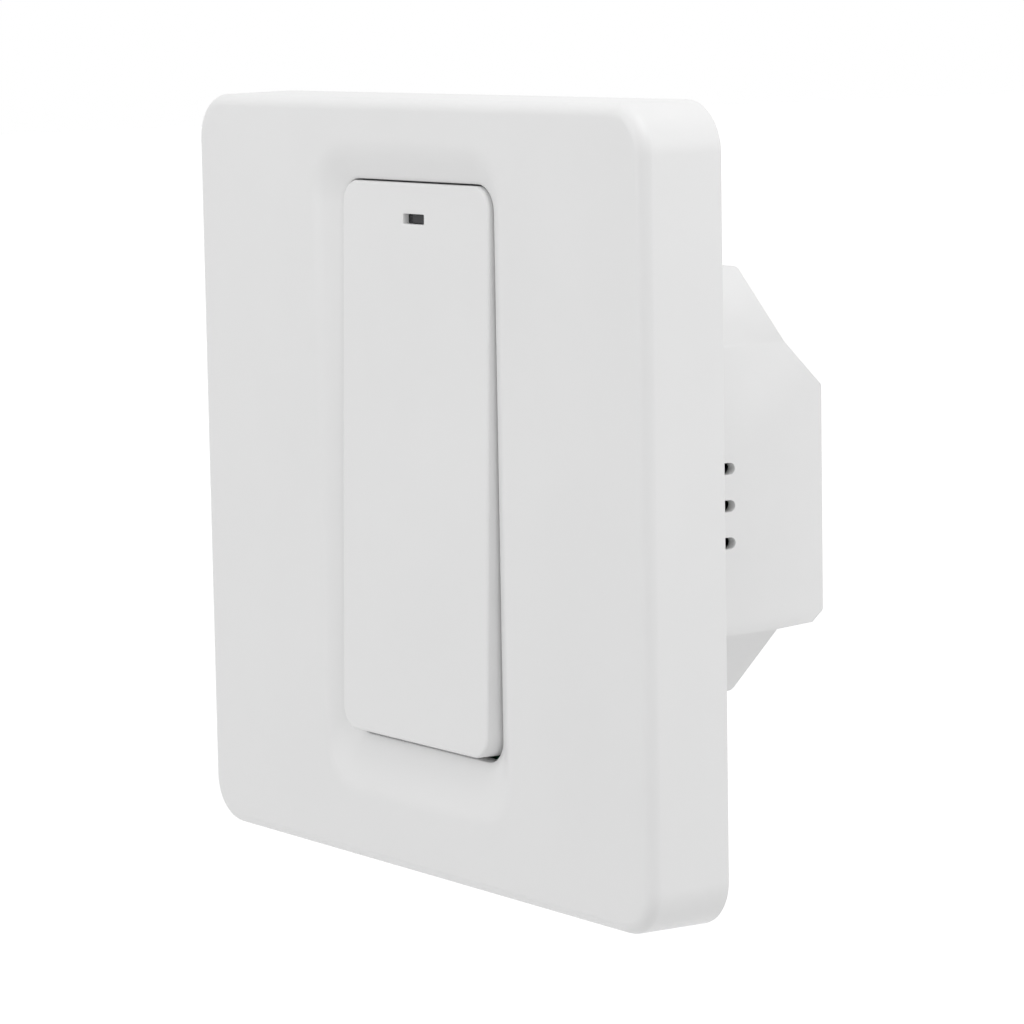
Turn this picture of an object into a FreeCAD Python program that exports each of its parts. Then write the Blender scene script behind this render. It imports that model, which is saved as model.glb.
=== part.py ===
import FreeCAD, Part
import math
import os
import re
import Sketcher

# Smart wall switch: a square snap-on cover with one tall rocker, a mounting frame, and an
# eight-sided housing that goes into a round wall box.
# Axes: X to the right, Y into the wall, Z up. The wall's surface is the plane Y = 0.
# The origin is the middle of the cover's back, on the line between the two fixing screws.
# A size is in millimetres, or in degrees where its name says so.

vec = FreeCAD.Vector
doc = FreeCAD.newDocument("wall_switch")

# Sizes
sizes = {
    # Cover
    "plate_width": 86.0,
    "plate_height": 86.0,
    "plate_depth": 10.1,
    "plate_wall": 2.0,
    "plate_draft_degrees": 1.0,
    "plate_corner_radius": 5.3,
    "front_edge_radius": 1.4,
    "rear_edge_bevel": 0.3,
    # Recess round the rocker
    "dish_depth": 1.8,
    "dish_wall": 1.8,
    "dish_run_side": 3.4,
    "dish_run_top": 3.0,
    "dish_run_bottom": 6.6,
    "dish_corner_radius": 5.5,
    "dish_blend_radius": 5.0,
    "dish_back_margin": 4.6,
    # Rocker
    "rocker_width": 28.1,
    "rocker_margin_top": 9.5,
    "rocker_margin_bottom": 15.05,
    "rocker_corner_radius": 2.6,
    "rocker_proud": 0.3,
    "rocker_skirt": 4.5,
    "rocker_skin": 1.6,
    "rocker_wall": 1.4,
    "rocker_edge_bevel": 0.25,
    "rocker_side_gap": 0.35,
    "rocker_top_gap": 0.5,
    "rocker_tilt_degrees": 1.43,
    "rocker_rib_width": 1.0,
    "rocker_rib_height": 1.1,
    "rocker_rib_pitch": 7.0,
    "rocker_rib_count": 3,
    # Rocker's hinge
    "hinge_drop": 2.9,
    "hinge_depth": 5.0,
    "hinge_pin_radius": 1.0,
    "hinge_play": 0.05,
    "hinge_ear_radius": 1.7,
    "hinge_pin_reach": 2.4,
    "hinge_lug_gap": 0.5,
    "hinge_lug_width": 1.8,
    "hinge_lug_half_height": 2.4,
    "hinge_lug_wall": 1.3,
    "hinge_snap_width": 1.6,
    # Stop tabs under the cover, at the rocker's lower end
    "stop_height": 3.0,
    "stop_reach": 1.4,
    "stop_thickness": 0.9,
    "stop_rise": 3.2,
    "stop_play": 0.08,
    # Slot and lens
    "slot_width": 4.0,
    "slot_height": 1.1,
    "slot_drop": 3.85,
    "lens_width": 6.4,
    "lens_height": 3.2,
    "lens_flange": 0.8,
    "lens_nose": 0.6,
    "lens_play": 0.05,
    "lens_corner_radius": 0.5,
    # Mounting frame
    "frame_play": 0.4,
    "frame_base": 2.0,
    "frame_rim_depth": 5.4,
    "frame_rim_wall": 1.4,
    "frame_corner_radius": 3.4,
    "fixing_spacing": 60.0,
    "fixing_slot_length": 8.0,
    "fixing_slot_width": 4.2,
    "fixing_boss_wall": 1.5,
    "fixing_boss_height": 0.8,
    # Snap hooks
    "hook_inset": 4.4,
    "hook_spacing_z": 46.0,
    "hook_length_z": 8.0,
    "hook_thickness": 1.2,
    "hook_catch": 0.5,
    "hook_catch_height": 0.6,
    "hook_wall_gap": 0.3,
    "hook_play": 0.2,
    "hook_ledge": 1.0,
    "hook_ledge_gap": 0.05,
    "hook_relief": 0.8,
    # Control board
    "board_thickness": 1.2,
    "board_corner_radius": 1.0,
    "control_board_width": 24.0,
    "control_board_margin": 2.55,
    "control_board_rise": 2.4,
    "control_board_stand": 0.5,
    "stand_width": 4.0,
    "board_screw_spacing_x": 19.4,
    "board_screw_inset_top": 10.8,
    "board_screw_inset_bottom": 7.2,
    "board_screw_radius": 0.9,
    "board_screw_head_radius": 1.7,
    "board_screw_head": 1.1,
    "board_screw_length": 2.6,
    "screw_play": 0.05,
    "screw_slot_width": 0.6,
    "screw_slot_depth": 0.5,
    # Tact switch
    "tact_rise": -3.0,
    "tact_width": 6.0,
    "tact_body": 1.5,
    "tact_corner_radius": 0.6,
    "tact_plunger_radius": 1.7,
    "tact_plunger_height": 1.0,
    "tact_plunger_root": 0.2,
    "tact_plunger_play": 0.1,
    "tact_floor": 0.2,
    "tact_cap_bevel": 0.25,
    "pusher_gap": 0.08,
    "pusher_width": 2.8,
    # Status light
    "led_width": 3.5,
    "led_height": 2.8,
    "led_thickness": 1.9,
    "led_window_radius": 1.2,
    "led_window_depth": 0.3,
    # Radio module
    "radio_width": 16.0,
    "radio_height": 15.0,
    "radio_board": 0.8,
    "radio_drop": 20.2,
    "can_width": 12.4,
    "can_height": 10.2,
    "can_thickness": 1.0,
    "can_drop": 1.9,
    "can_edge_bevel": 0.25,
    "can_corner_radius": 0.8,
    # Rear housing
    "housing_width": 48.0,
    "housing_height": 47.4,
    "housing_flat": 31.6,
    "housing_step_depth": 23.4,
    "housing_step_difference": 1.4,
    "housing_depth": 28.8,
    "housing_wall": 1.8,
    "housing_edge_radius": 0.5,
    "slope_low_rise": 10.5,
    "block_chamfer": 1.45,
    "vent_count": 3,
    "vent_length": 10.0,
    "vent_width": 1.3,
    "vent_pitch": 4.07,
    "vent_end_depth": 16.3,
    "vent_low_drop": 5.68,
    # Pillars in the housing's corners, and the screws into two of them
    "pillar_spacing": 34.4,
    "housing_screw_radius": 1.0,
    "housing_screw_head_radius": 2.0,
    "housing_screw_length": 9.0,
    "pillar_width": 4.4,
    "pillar_foot_width": 5.2,
    "screw_end_gap": 0.3,
    # Power board
    "power_board_thickness": 1.6,
    "power_board_depth": 15.0,
    "power_board_gap": 0.35,
    "pillar_notch_play": 0.3,
    "post_spacing_x": 40.2,
    "post_spacing_z": 21.0,
    "post_width": 2.4,
    "post_height": 4.0,
    # Link header between the boards
    "link_drop": 19.0,
    "link_pins": 6,
    "link_pin_spacing": 2.54,
    "link_pin_width": 0.64,
    "link_pin_play": 0.15,
    "link_spacer_height": 2.5,
    "link_spacer_width": 2.5,
    "link_window_play": 0.6,
    "link_pin_proud": 0.8,
    # Relay
    "relay_width": 15.2,
    "relay_height": 18.6,
    "relay_depth": 11.0,
    "relay_x": -10.2,
    "relay_z": 4.0,
    "relay_corner_radius": 0.8,
    "relay_edge_bevel": 0.3,
    "relay_stand": 0.4,
    "relay_foot": 1.6,
    "relay_pin_spacing_x": 11.0,
    "relay_pin_spacing_z": 16.8,
    "relay_pin_proud": 1.0,
    "relay_pin_width": 0.8,
    "relay_pin_play": 0.15,
    # Transformer
    "transformer_x": 9.6,
    "transformer_z": 5.2,
    "core_width": 12.6,
    "core_height": 4.2,
    "core_leg": 2.1,
    "core_depth": 9.6,
    "bobbin_width": 7.6,
    "bobbin_height": 10.4,
    "bobbin_flange": 0.8,
    "bobbin_foot": 1.6,
    "bobbin_rail": 2.0,
    "bobbin_hub_wall": 0.4,
    "winding_corner_radius": 1.4,
    "winding_sink": 0.2,
    "winding_play": 0.05,
    # Capacitors and small parts
    "bulk_radius": 4.0,
    "bulk_height": 11.5,
    "bulk_x": 5.6,
    "bulk_pitch": 8.8,
    "bulk_drop": 9.2,
    "bulk_edge_bevel": 0.4,
    "film_width": 13.0,
    "film_height": 5.4,
    "film_depth": 9.6,
    "film_x": -9.4,
    "film_drop": 11.4,
    "film_edge_radius": 0.5,
    "varistor_radius": 4.0,
    "varistor_thickness": 3.2,
    "varistor_x": -7.4,
    "varistor_z": 17.0,
    "varistor_lead_pitch": 5.0,
    "lead_width": 0.6,
    "lead_length": 2.0,
    "fuse_radius": 1.6,
    "fuse_length": 8.4,
    "fuse_x": 6.4,
    "fuse_z": 17.6,
    "fuse_lift": 0.6,
    "fuse_lead_reach": 1.0,
    "choke_radius": 3.0,
    "choke_depth": 6.4,
    "choke_flange": 0.9,
    "choke_neck_radius": 1.6,
    "choke_winding_radius": 2.6,
    "choke_x": 18.2,
    "choke_z": -0.6,
    "bridge_width": 6.4,
    "bridge_height": 4.6,
    "bridge_depth": 2.4,
    "bridge_x": 1.4,
    "bridge_z": -1.9,
    "bridge_leg_pitch": 5.1,
    "bridge_leg_width": 0.9,
    "bridge_leg_reach": 0.9,
    "bridge_leg_thickness": 0.3,
    # Terminal block
    "pole_pitch": 7.5,
    "block_width": 24.2,
    "block_low_z": 1.2,
    "block_high_z": 11.3,
    "block_rear_gap": 0.4,
    "block_slope_gap": 0.3,
    "chamber_width": 5.8,
    "chamber_low_z": 3.0,
    "chamber_high_z": 8.2,
    "chamber_roof": 1.8,
    "clamp_width": 5.2,
    "clamp_height": 4.4,
    "clamp_length": 5.4,
    "clamp_wall": 0.8,
    "clamp_nut": 1.4,
    "clamp_end_gap": 0.2,
    "clamp_travel": 2.0,
    "bar_width": 3.0,
    "bar_thickness": 0.7,
    "bar_nut_gap": 0.1,
    "bar_block_gap": 0.1,
    "bar_end_gap": 0.5,
    "terminal_screw_radius": 1.45,
    "terminal_head_radius": 2.05,
    "terminal_head": 1.2,
    "head_seat": 0.5,
    "terminal_play": 0.06,
    "terminal_tip_gap": 0.05,
    "terminal_z": 5.6,
    "driver_hole_radius": 1.95,
    "port_width": 3.8,
    "port_height": 3.4,
    "port_reach": 2.3,
    "channel_depth": 9.2,
}

sheet = doc.addObject("Spreadsheet::Sheet", "Sizes")
for row, (name, value) in enumerate(sizes.items(), 1):
    sheet.set("A%d" % row, name)
    sheet.set("B%d" % row, str(value))
    sheet.setAlias("B%d" % row, name)
doc.recompute()


# Sketches and features, each bound to the sheet
def bound(text):
    """The expression with every size's name written as a cell of the sheet."""

    def cell(word):
        return "Sizes." + word.group() if word.group() in sizes else word.group()

    return re.sub(r"[a-z][a-z_0-9]*", cell, text)


def number(text):
    """What an expression of sizes comes to."""
    return float(sheet.evalExpression(text))


def new_body(name):
    body = doc.addObject("PartDesign::Body", name)
    body.Label = name
    return body


def new_sketch(body, role, lift="0"):
    """A sketch on one of the body's origin planes, lifted along that plane's normal.

    The plane XZ_Plane faces the front, so a lift is a distance in front of the wall.
    """
    plane = [feature for feature in body.Origin.OriginFeatures if feature.Role == role][0]
    sketch = body.newObject("Sketcher::SketchObject", body.Label + "_sketch")
    sketch.AttachmentSupport = [(plane, "")]
    sketch.MapMode = "FlatFace"
    sketch.setExpression("AttachmentOffset.Base.z", bound(lift))
    return sketch


def bind(sketch, constraint, text):
    """A constraint whose value is an expression of sizes."""
    index = sketch.addConstraint(constraint)
    sketch.renameConstraint(index, "size_%d" % index)
    sketch.setExpression("Constraints.size_%d" % index, bound(text))


def place_point(sketch, geometry, end, across, up):
    bind(sketch, Sketcher.Constraint("DistanceX", geometry, end, number(across)), across)
    bind(sketch, Sketcher.Constraint("DistanceY", geometry, end, number(up)), up)


def draw_polygon(sketch, points):
    """A closed outline through points given as pairs of expressions."""
    corners = [vec(number(across), number(up), 0) for across, up in points]
    first = sketch.GeometryCount
    count = len(points)
    for index in range(count):
        sketch.addGeometry(Part.LineSegment(corners[index], corners[(index + 1) % count]), False)
    for index in range(count):
        following = first + (index + 1) % count
        sketch.addConstraint(Sketcher.Constraint("Coincident", first + index, 2, following, 1))
    for index, (across, up) in enumerate(points):
        place_point(sketch, first + index, 1, across, up)


def draw_box(sketch, left, low, right, high):
    draw_polygon(sketch, [(left, low), (right, low), (right, high), (left, high)])


def draw_centred_box(sketch, x, z, width, height):
    draw_box(
        sketch,
        "%s - (%s) / 2" % (x, width),
        "%s - (%s) / 2" % (z, height),
        "%s + (%s) / 2" % (x, width),
        "%s + (%s) / 2" % (z, height),
    )


def draw_round_box(sketch, left, low, right, high, radius):
    """A box outline with four round corners."""
    r = number(radius)
    quarter = math.pi / 2
    sides = [
        ("%s - (%s)" % (right, radius), "%s - (%s)" % (high, radius), vec(0, r, 0), 0),
        ("%s + (%s)" % (left, radius), "%s - (%s)" % (high, radius), vec(-r, 0, 0), quarter),
        ("%s + (%s)" % (left, radius), "%s + (%s)" % (low, radius), vec(0, -r, 0), 2 * quarter),
        ("%s - (%s)" % (right, radius), "%s + (%s)" % (low, radius), vec(r, 0, 0), 3 * quarter),
    ]
    first = sketch.GeometryCount
    for index, (across, up, reach, start) in enumerate(sides):
        centre = vec(number(across), number(up), 0)
        following = vec(number(sides[(index + 1) % 4][0]), number(sides[(index + 1) % 4][1]), 0)
        arc = Part.ArcOfCircle(Part.Circle(centre, vec(0, 0, 1), r), start, start + quarter)
        sketch.addGeometry(arc, False)
        sketch.addGeometry(Part.LineSegment(centre + reach, following + reach), False)
    for index, (across, up, reach, start) in enumerate(sides):
        arc = first + 2 * index
        sketch.addConstraint(Sketcher.Constraint("Tangent", arc, 2, arc + 1, 1))
        sketch.addConstraint(Sketcher.Constraint("Tangent", arc + 1, 2, first + 2 * ((index + 1) % 4), 1))
        place_point(sketch, arc, 3, across, up)
        bind(sketch, Sketcher.Constraint("Radius", arc, r), radius)


def draw_centred_round_box(sketch, x, z, width, height, radius):
    draw_round_box(
        sketch,
        "%s - (%s) / 2" % (x, width),
        "%s - (%s) / 2" % (z, height),
        "%s + (%s) / 2" % (x, width),
        "%s + (%s) / 2" % (z, height),
        radius,
    )


def draw_circle(sketch, across, up, radius):
    centre = vec(number(across), number(up), 0)
    index = sketch.addGeometry(Part.Circle(centre, vec(0, 0, 1), number(radius)), False)
    bind(sketch, Sketcher.Constraint("Radius", index, number(radius)), radius)
    place_point(sketch, index, 3, across, up)


def draw_slot(sketch, across, up, length, width):
    """A slot with round ends, lying along the sketch's X axis, with its middle at a point."""
    x, y = number(across), number(up)
    half = number("(%s - %s) / 2" % (length, width))
    radius = number(width) / 2
    left, right = vec(x - half, y, 0), vec(x + half, y, 0)
    up_one = vec(0, radius, 0)
    quarter = math.pi / 2
    first = sketch.GeometryCount
    sketch.addGeometry(Part.LineSegment(right + up_one, left + up_one), False)
    sketch.addGeometry(Part.ArcOfCircle(Part.Circle(left, vec(0, 0, 1), radius), quarter, 3 * quarter), False)
    sketch.addGeometry(Part.LineSegment(left - up_one, right - up_one), False)
    sketch.addGeometry(Part.ArcOfCircle(Part.Circle(right, vec(0, 0, 1), radius), -quarter, quarter), False)
    for line, line_end, arc, arc_end in ((0, 2, 1, 1), (2, 1, 1, 2), (2, 2, 3, 1), (0, 1, 3, 2)):
        sketch.addConstraint(Sketcher.Constraint("Tangent", first + line, line_end, first + arc, arc_end))
    place_point(sketch, first + 1, 3, "%s - (%s - %s) / 2" % (across, length, width), up)
    place_point(sketch, first + 3, 3, "%s + (%s - %s) / 2" % (across, length, width), up)
    bind(sketch, Sketcher.Constraint("Radius", first + 1, radius), "%s / 2" % width)


def finish_feature(body, feature, kind):
    """Recompute, and see that a cut took something away and a pad added something."""
    doc.recompute()
    base = feature.BaseFeature
    if base is not None and kind in ("pad", "pocket"):
        change = feature.Shape.Volume - base.Shape.Volume
        if (kind == "pad") != (change > 1e-6) or abs(change) < 1e-6:
            raise RuntimeError("%s: a %s changed the volume by %.4f" % (body.Label, kind, change))
    return feature


def pad(body, sketch, length, backward=True, both=False, taper=None):
    """Material from the sketch: on an XZ sketch, backward is towards the wall."""
    feature = body.newObject("PartDesign::Pad", body.Label + "_pad")
    feature.Profile = sketch
    feature.setExpression("Length", bound(length))
    feature.Reversed = backward
    feature.Midplane = both
    if taper is not None:
        feature.setExpression("TaperAngle", bound(taper))
    return finish_feature(body, feature, "pad")


def pocket(body, sketch, length, backward=True, both=False):
    """A cut from the sketch: on an XZ sketch, backward is towards the wall."""
    feature = body.newObject("PartDesign::Pocket", body.Label + "_pocket")
    feature.Profile = sketch
    feature.setExpression("Length", bound(length))
    feature.Reversed = not backward
    feature.Midplane = both
    return finish_feature(body, feature, "pocket")


def edges_where(feature, test):
    """Names of the feature's edges whose two ends and middle pass the test."""
    names = []
    for index, edge in enumerate(feature.Shape.Edges, 1):
        ends = [vertex.Point for vertex in edge.Vertexes]
        middle = edge.valueAt((edge.FirstParameter + edge.LastParameter) / 2)
        if test(ends + [middle]):
            names.append("Edge%d" % index)
    return names


def round_edges(body, base, test, radius, kind="Fillet"):
    """Fillet or chamfer the edges of a feature that pass the test."""
    names = edges_where(base, test)
    if not names:
        raise RuntimeError("%s: no edge to round" % body.Label)
    feature = body.newObject("PartDesign::" + kind, body.Label + "_round")
    feature.Base = (base, names)
    feature.setExpression("Radius" if kind == "Fillet" else "Size", bound(radius))
    return finish_feature(body, feature, "round")


def at_depth(points, y):
    """An edge that lies in the plane at that depth."""
    return all(abs(p.y - y) < 1e-5 for p in points)


def inside(points, x):
    """An edge that lies wholly within a distance of the middle, across."""
    return all(abs(p.x) < x for p in points)


# Cover: a drafted square shell with the rocker's opening in a soft recess
rocker_low = "(rocker_margin_bottom - plate_height / 2)"
rocker_high = "(plate_height / 2 - rocker_margin_top)"
rocker_middle = "((rocker_margin_bottom - rocker_margin_top) / 2)"
rocker_height = "(plate_height - rocker_margin_top - rocker_margin_bottom)"
opening_side = "(rocker_width / 2 + rocker_side_gap)"
opening_low = "(%s - rocker_side_gap)" % rocker_low
opening_high = "(%s + rocker_top_gap)" % rocker_high
opening_radius = "(rocker_corner_radius + rocker_side_gap)"
dish_back = "(plate_depth - dish_depth - dish_wall)"
hinge_z = "(%s - hinge_drop)" % rocker_high
hinge_point = vec(0, -sizes["hinge_depth"], number(hinge_z))
lug_back = "(hinge_depth - hinge_pin_radius - hinge_play - hinge_lug_wall)"

cover = new_body("face_plate")
outline = new_sketch(cover, "XZ_Plane")
draw_centred_round_box(outline, "0", "0", "plate_width", "plate_height", "plate_corner_radius")
shell = pad(cover, outline, "plate_depth", backward=False, taper="-plate_draft_degrees")
shell = round_edges(cover, shell, lambda p: at_depth(p, -sizes["plate_depth"]), "front_edge_radius")
shell = round_edges(cover, shell, lambda p: at_depth(p, 0), "rear_edge_bevel", "Chamfer")
cavity = new_sketch(cover, "XZ_Plane")
draw_centred_round_box(
    cavity,
    "0",
    "0",
    "plate_width - 2 * plate_wall",
    "plate_height - 2 * plate_wall",
    "plate_corner_radius - plate_wall",
)
shell = pocket(cover, cavity, "plate_depth - plate_wall", backward=False)

# The wall is carried down behind the recess
pan = new_sketch(cover, "XZ_Plane", "plate_depth - plate_wall")
draw_round_box(
    pan,
    "-%s - dish_back_margin" % opening_side,
    "%s - dish_run_bottom" % opening_low,
    "%s + dish_back_margin" % opening_side,
    "%s + dish_back_margin" % opening_high,
    "%s + dish_back_margin" % opening_radius,
)
shell = pad(cover, pan, "dish_depth + dish_wall - plate_wall")

# Hooks that snap behind the frame's ledges
frame_width = "(plate_width - 2 * plate_wall - 2 * frame_play)"
frame_height = "(plate_height - 2 * plate_wall - 2 * frame_play)"
hook_x = "(%s / 2 - hook_inset)" % frame_width
catch_y = "-(frame_base - hook_ledge - hook_ledge_gap)"
hook_end_y = "-(frame_base - hook_ledge - hook_ledge_gap - hook_catch_height)"
for level in ("-hook_spacing_z / 2", "hook_spacing_z / 2"):
    arms = new_sketch(cover, "XY_Plane", level)
    for side in ("-", ""):
        inner_x = side + "(%s - hook_thickness / 2)" % hook_x
        outer_x = side + "(%s + hook_thickness / 2)" % hook_x
        catch_x = side + "(%s + hook_thickness / 2 + hook_catch)" % hook_x
        draw_polygon(
            arms,
            [
                (inner_x, "-(plate_depth - plate_wall / 2)"),
                (outer_x, "-(plate_depth - plate_wall / 2)"),
                (outer_x, catch_y),
                (catch_x, catch_y),
                (outer_x, hook_end_y),
                (inner_x, hook_end_y),
            ],
        )
    shell = pad(cover, arms, "hook_length_z", both=True)

# Lugs that carry the rocker's pins
lugs = new_sketch(cover, "XZ_Plane", dish_back)
for side in ("-", ""):
    lug_x = side + "(rocker_width / 2 + hinge_lug_gap + hinge_lug_width / 2)"
    draw_centred_box(lugs, lug_x, hinge_z, "hinge_lug_width", "2 * hinge_lug_half_height")
shell = pad(cover, lugs, "%s - %s" % (dish_back, lug_back))
bearing = new_sketch(cover, "YZ_Plane")
draw_circle(bearing, "-hinge_depth", hinge_z, "hinge_pin_radius + hinge_play")
shell = pocket(cover, bearing, "2 * (rocker_width / 2 + hinge_pin_reach)", both=True)
entry = new_sketch(cover, "YZ_Plane")
draw_box(
    entry,
    "-hinge_depth",
    "%s - hinge_snap_width / 2" % hinge_z,
    "-%s + hinge_lug_wall" % lug_back,
    "%s + hinge_snap_width / 2" % hinge_z,
)
shell = pocket(cover, entry, "2 * (rocker_width / 2 + hinge_pin_reach)", both=True)
window = new_sketch(cover, "XZ_Plane", "plate_depth")
draw_round_box(window, "-%s" % opening_side, opening_low, opening_side, opening_high, opening_radius)
shell = pocket(cover, window, "plate_depth - frame_base")

# The recess falls from a softly rounded rim to the opening's edge
rim = new_sketch(cover, "XZ_Plane", "plate_depth")
draw_round_box(
    rim,
    "-%s - dish_run_side" % opening_side,
    "%s - dish_run_bottom" % opening_low,
    "%s + dish_run_side" % opening_side,
    "%s + dish_run_top" % opening_high,
    "dish_corner_radius",
)
floor = new_sketch(cover, "XZ_Plane", "plate_depth - dish_depth")
draw_round_box(floor, "-%s" % opening_side, opening_low, opening_side, opening_high, opening_radius)
dish = cover.newObject("PartDesign::SubtractiveLoft", "face_plate_dish")
dish.Profile = rim
dish.Sections = [(floor, [""])]
dish.Ruled = True
shell = finish_feature(cover, dish, "pocket")
shell = round_edges(
    cover,
    shell,
    lambda p: at_depth(p, -sizes["plate_depth"]) and inside(p, number("plate_width / 3")),
    "dish_blend_radius",
)

# Rocker, drawn pushed in and then turned out to where it rests
rocker = new_body("rocker_button")
rocker_face = "(plate_depth - dish_depth + rocker_proud)"
rocker_back = "(%s - rocker_skirt)" % rocker_face
rocker_inner = "(%s - rocker_skin)" % rocker_face
tilt_rise = "sin(rocker_tilt_degrees)"
face = new_sketch(rocker, "XZ_Plane", rocker_face)
draw_centred_round_box(face, "0", rocker_middle, "rocker_width", rocker_height, "rocker_corner_radius")
key = pad(rocker, face, "rocker_skirt")
key = round_edges(rocker, key, lambda p: at_depth(p, -number(rocker_face)), "rocker_edge_bevel", "Chamfer")
hollow = new_sketch(rocker, "XZ_Plane", rocker_back)
draw_centred_round_box(
    hollow,
    "0",
    rocker_middle,
    "rocker_width - 2 * rocker_wall",
    rocker_height + " - 2 * rocker_wall",
    "rocker_corner_radius - rocker_wall",
)
key = pocket(rocker, hollow, "rocker_skirt - rocker_skin", backward=False)

# Ribs behind the rocker's skin: one along it, and cross ribs between the boards' parts
ribs = new_sketch(rocker, "XZ_Plane", rocker_inner)
draw_box(
    ribs,
    "-rocker_rib_width / 2",
    "%s + rocker_wall / 2" % rocker_low,
    "rocker_rib_width / 2",
    "tact_rise",
)
key = pad(rocker, ribs, "rocker_rib_height")
cross = new_sketch(rocker, "XZ_Plane", rocker_inner)
draw_centred_box(cross, "0", "tact_rise", "rocker_width - rocker_wall", "rocker_rib_width")
crossed = pad(rocker, cross, "rocker_rib_height")
row = rocker.newObject("PartDesign::LinearPattern", "rocker_button_ribs")
row.Originals = [crossed]
row.Direction = (cross, ["V_Axis"])
row.Reversed = True
row.setExpression("Length", bound("rocker_rib_pitch * (rocker_rib_count - 1)"))
row.Occurrences = int(sizes["rocker_rib_count"])
rocker.Tip = row
doc.recompute()

# Pins and ears of the hinge, stop tabs and the pusher over the tact switch
for side in ("-", ""):
    ear = new_sketch(rocker, "YZ_Plane", side + "(rocker_width / 2 - rocker_wall / 2)")
    draw_circle(ear, "-hinge_depth", hinge_z, "hinge_ear_radius")
    key = pad(rocker, ear, "rocker_wall", both=True)
    pin = new_sketch(rocker, "YZ_Plane", side + "(rocker_width / 2 + (hinge_pin_reach - rocker_wall) / 2)")
    draw_circle(pin, "-hinge_depth", hinge_z, "hinge_pin_radius")
    key = pad(rocker, pin, "rocker_wall + hinge_pin_reach", both=True)
stop_low = "(%s + stop_rise)" % rocker_low
stop_face = "(%s - stop_play - (%s - %s) * %s)" % (dish_back, hinge_z, stop_low, tilt_rise)
stops = new_sketch(rocker, "XZ_Plane", stop_face)
for side in ("-", ""):
    stop_x = side + "(rocker_width / 2 + stop_reach / 2 - rocker_wall / 4)"
    stop_z = "(%s + stop_height / 2)" % stop_low
    draw_centred_box(stops, stop_x, stop_z, "stop_reach + rocker_wall / 2", "stop_height")
key = pad(rocker, stops, "stop_thickness")
control_back = "(frame_base + control_board_stand)"
control_face = "(%s + board_thickness)" % control_back
plunger_tip = "(%s + tact_body + tact_plunger_height)" % control_face
tact_travel = "((%s - tact_rise) * %s)" % (hinge_z, tilt_rise)
pusher_tip = "(%s + pusher_gap - %s)" % (plunger_tip, tact_travel)
pusher = new_sketch(rocker, "XZ_Plane", "%s + rocker_skin / 2" % rocker_inner)
draw_centred_box(pusher, "0", "tact_rise", "pusher_width", "pusher_width")
key = pad(rocker, pusher, "%s + rocker_skin / 2 - %s" % (rocker_inner, pusher_tip))
slot = new_sketch(rocker, "XZ_Plane", rocker_face)
slot_z = "(%s - slot_drop)" % rocker_high
draw_centred_box(slot, "0", slot_z, "slot_width", "slot_height")
key = pocket(rocker, slot, "rocker_skin + 1")
rest_turn = FreeCAD.Rotation(vec(1, 0, 0), -sizes["rocker_tilt_degrees"])
rest_place = FreeCAD.Placement(vec(0, 0, 0), rest_turn, hinge_point)
rocker.Placement = rest_place


# Smoked lens behind the rocker's slot
lens = new_body("rocker_lens")
flange = new_sketch(lens, "XZ_Plane", rocker_inner)
draw_centred_round_box(flange, "0", slot_z, "lens_width", "lens_height", "lens_corner_radius")
pad(lens, flange, "lens_flange")
nose = new_sketch(lens, "XZ_Plane", rocker_inner)
draw_centred_box(nose, "0", slot_z, "slot_width - 2 * lens_play", "slot_height - 2 * lens_play")
pad(lens, nose, "lens_nose", backward=False)
lens.Placement = rest_place

# Mounting frame: a tray screwed to the wall box through two slots
frame = new_body("mounting_frame")
tray_outline = new_sketch(frame, "XZ_Plane")
draw_centred_round_box(tray_outline, "0", "0", frame_width, frame_height, "frame_corner_radius")
tray = pad(frame, tray_outline, "frame_rim_depth", backward=False)
floor_outline = new_sketch(frame, "XZ_Plane", "frame_rim_depth")
draw_centred_round_box(
    floor_outline,
    "0",
    "0",
    frame_width + " - 2 * frame_rim_wall",
    frame_height + " - 2 * frame_rim_wall",
    "frame_corner_radius - frame_rim_wall",
)
tray = pocket(frame, floor_outline, "frame_rim_depth - frame_base")
signs = ("-", "")
bosses = new_sketch(frame, "XZ_Plane", "frame_base")
for side in signs:
    draw_slot(
        bosses,
        side + "fixing_spacing / 2",
        "0",
        "fixing_slot_length + 2 * fixing_boss_wall",
        "fixing_slot_width + 2 * fixing_boss_wall",
    )
tray = pad(frame, bosses, "fixing_boss_height", backward=False)
control_height = "(%s + control_board_margin)" % rocker_height
board_high = "(control_board_rise + %s / 2)" % control_height
board_low = "(control_board_rise - %s / 2)" % control_height
board_screws = [
    ("-board_screw_spacing_x / 2", "%s - board_screw_inset_top" % board_high),
    ("board_screw_spacing_x / 2", "%s + board_screw_inset_bottom" % board_low),
]
stands = new_sketch(frame, "XZ_Plane", "frame_base")
for x, z in board_screws:
    draw_centred_box(stands, x, z, "stand_width", "stand_width")
tray = pad(frame, stands, "control_board_stand", backward=False)
posts = new_sketch(frame, "XZ_Plane")
for side in signs:
    for level in signs:
        post_x = side + "post_spacing_x / 2"
        draw_centred_box(posts, post_x, level + "post_spacing_z / 2", "post_width", "post_height")
tray = pad(frame, posts, "power_board_depth")
pillar_places = [
    (side + "pillar_spacing / 2", level + "pillar_spacing / 2") for side in signs for level in signs
]
corner_screws = [pillar_places[1], pillar_places[2]]
link_width = "(link_pins * link_pin_spacing)"
through = new_sketch(frame, "XZ_Plane", "frame_base + fixing_boss_height")
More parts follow.
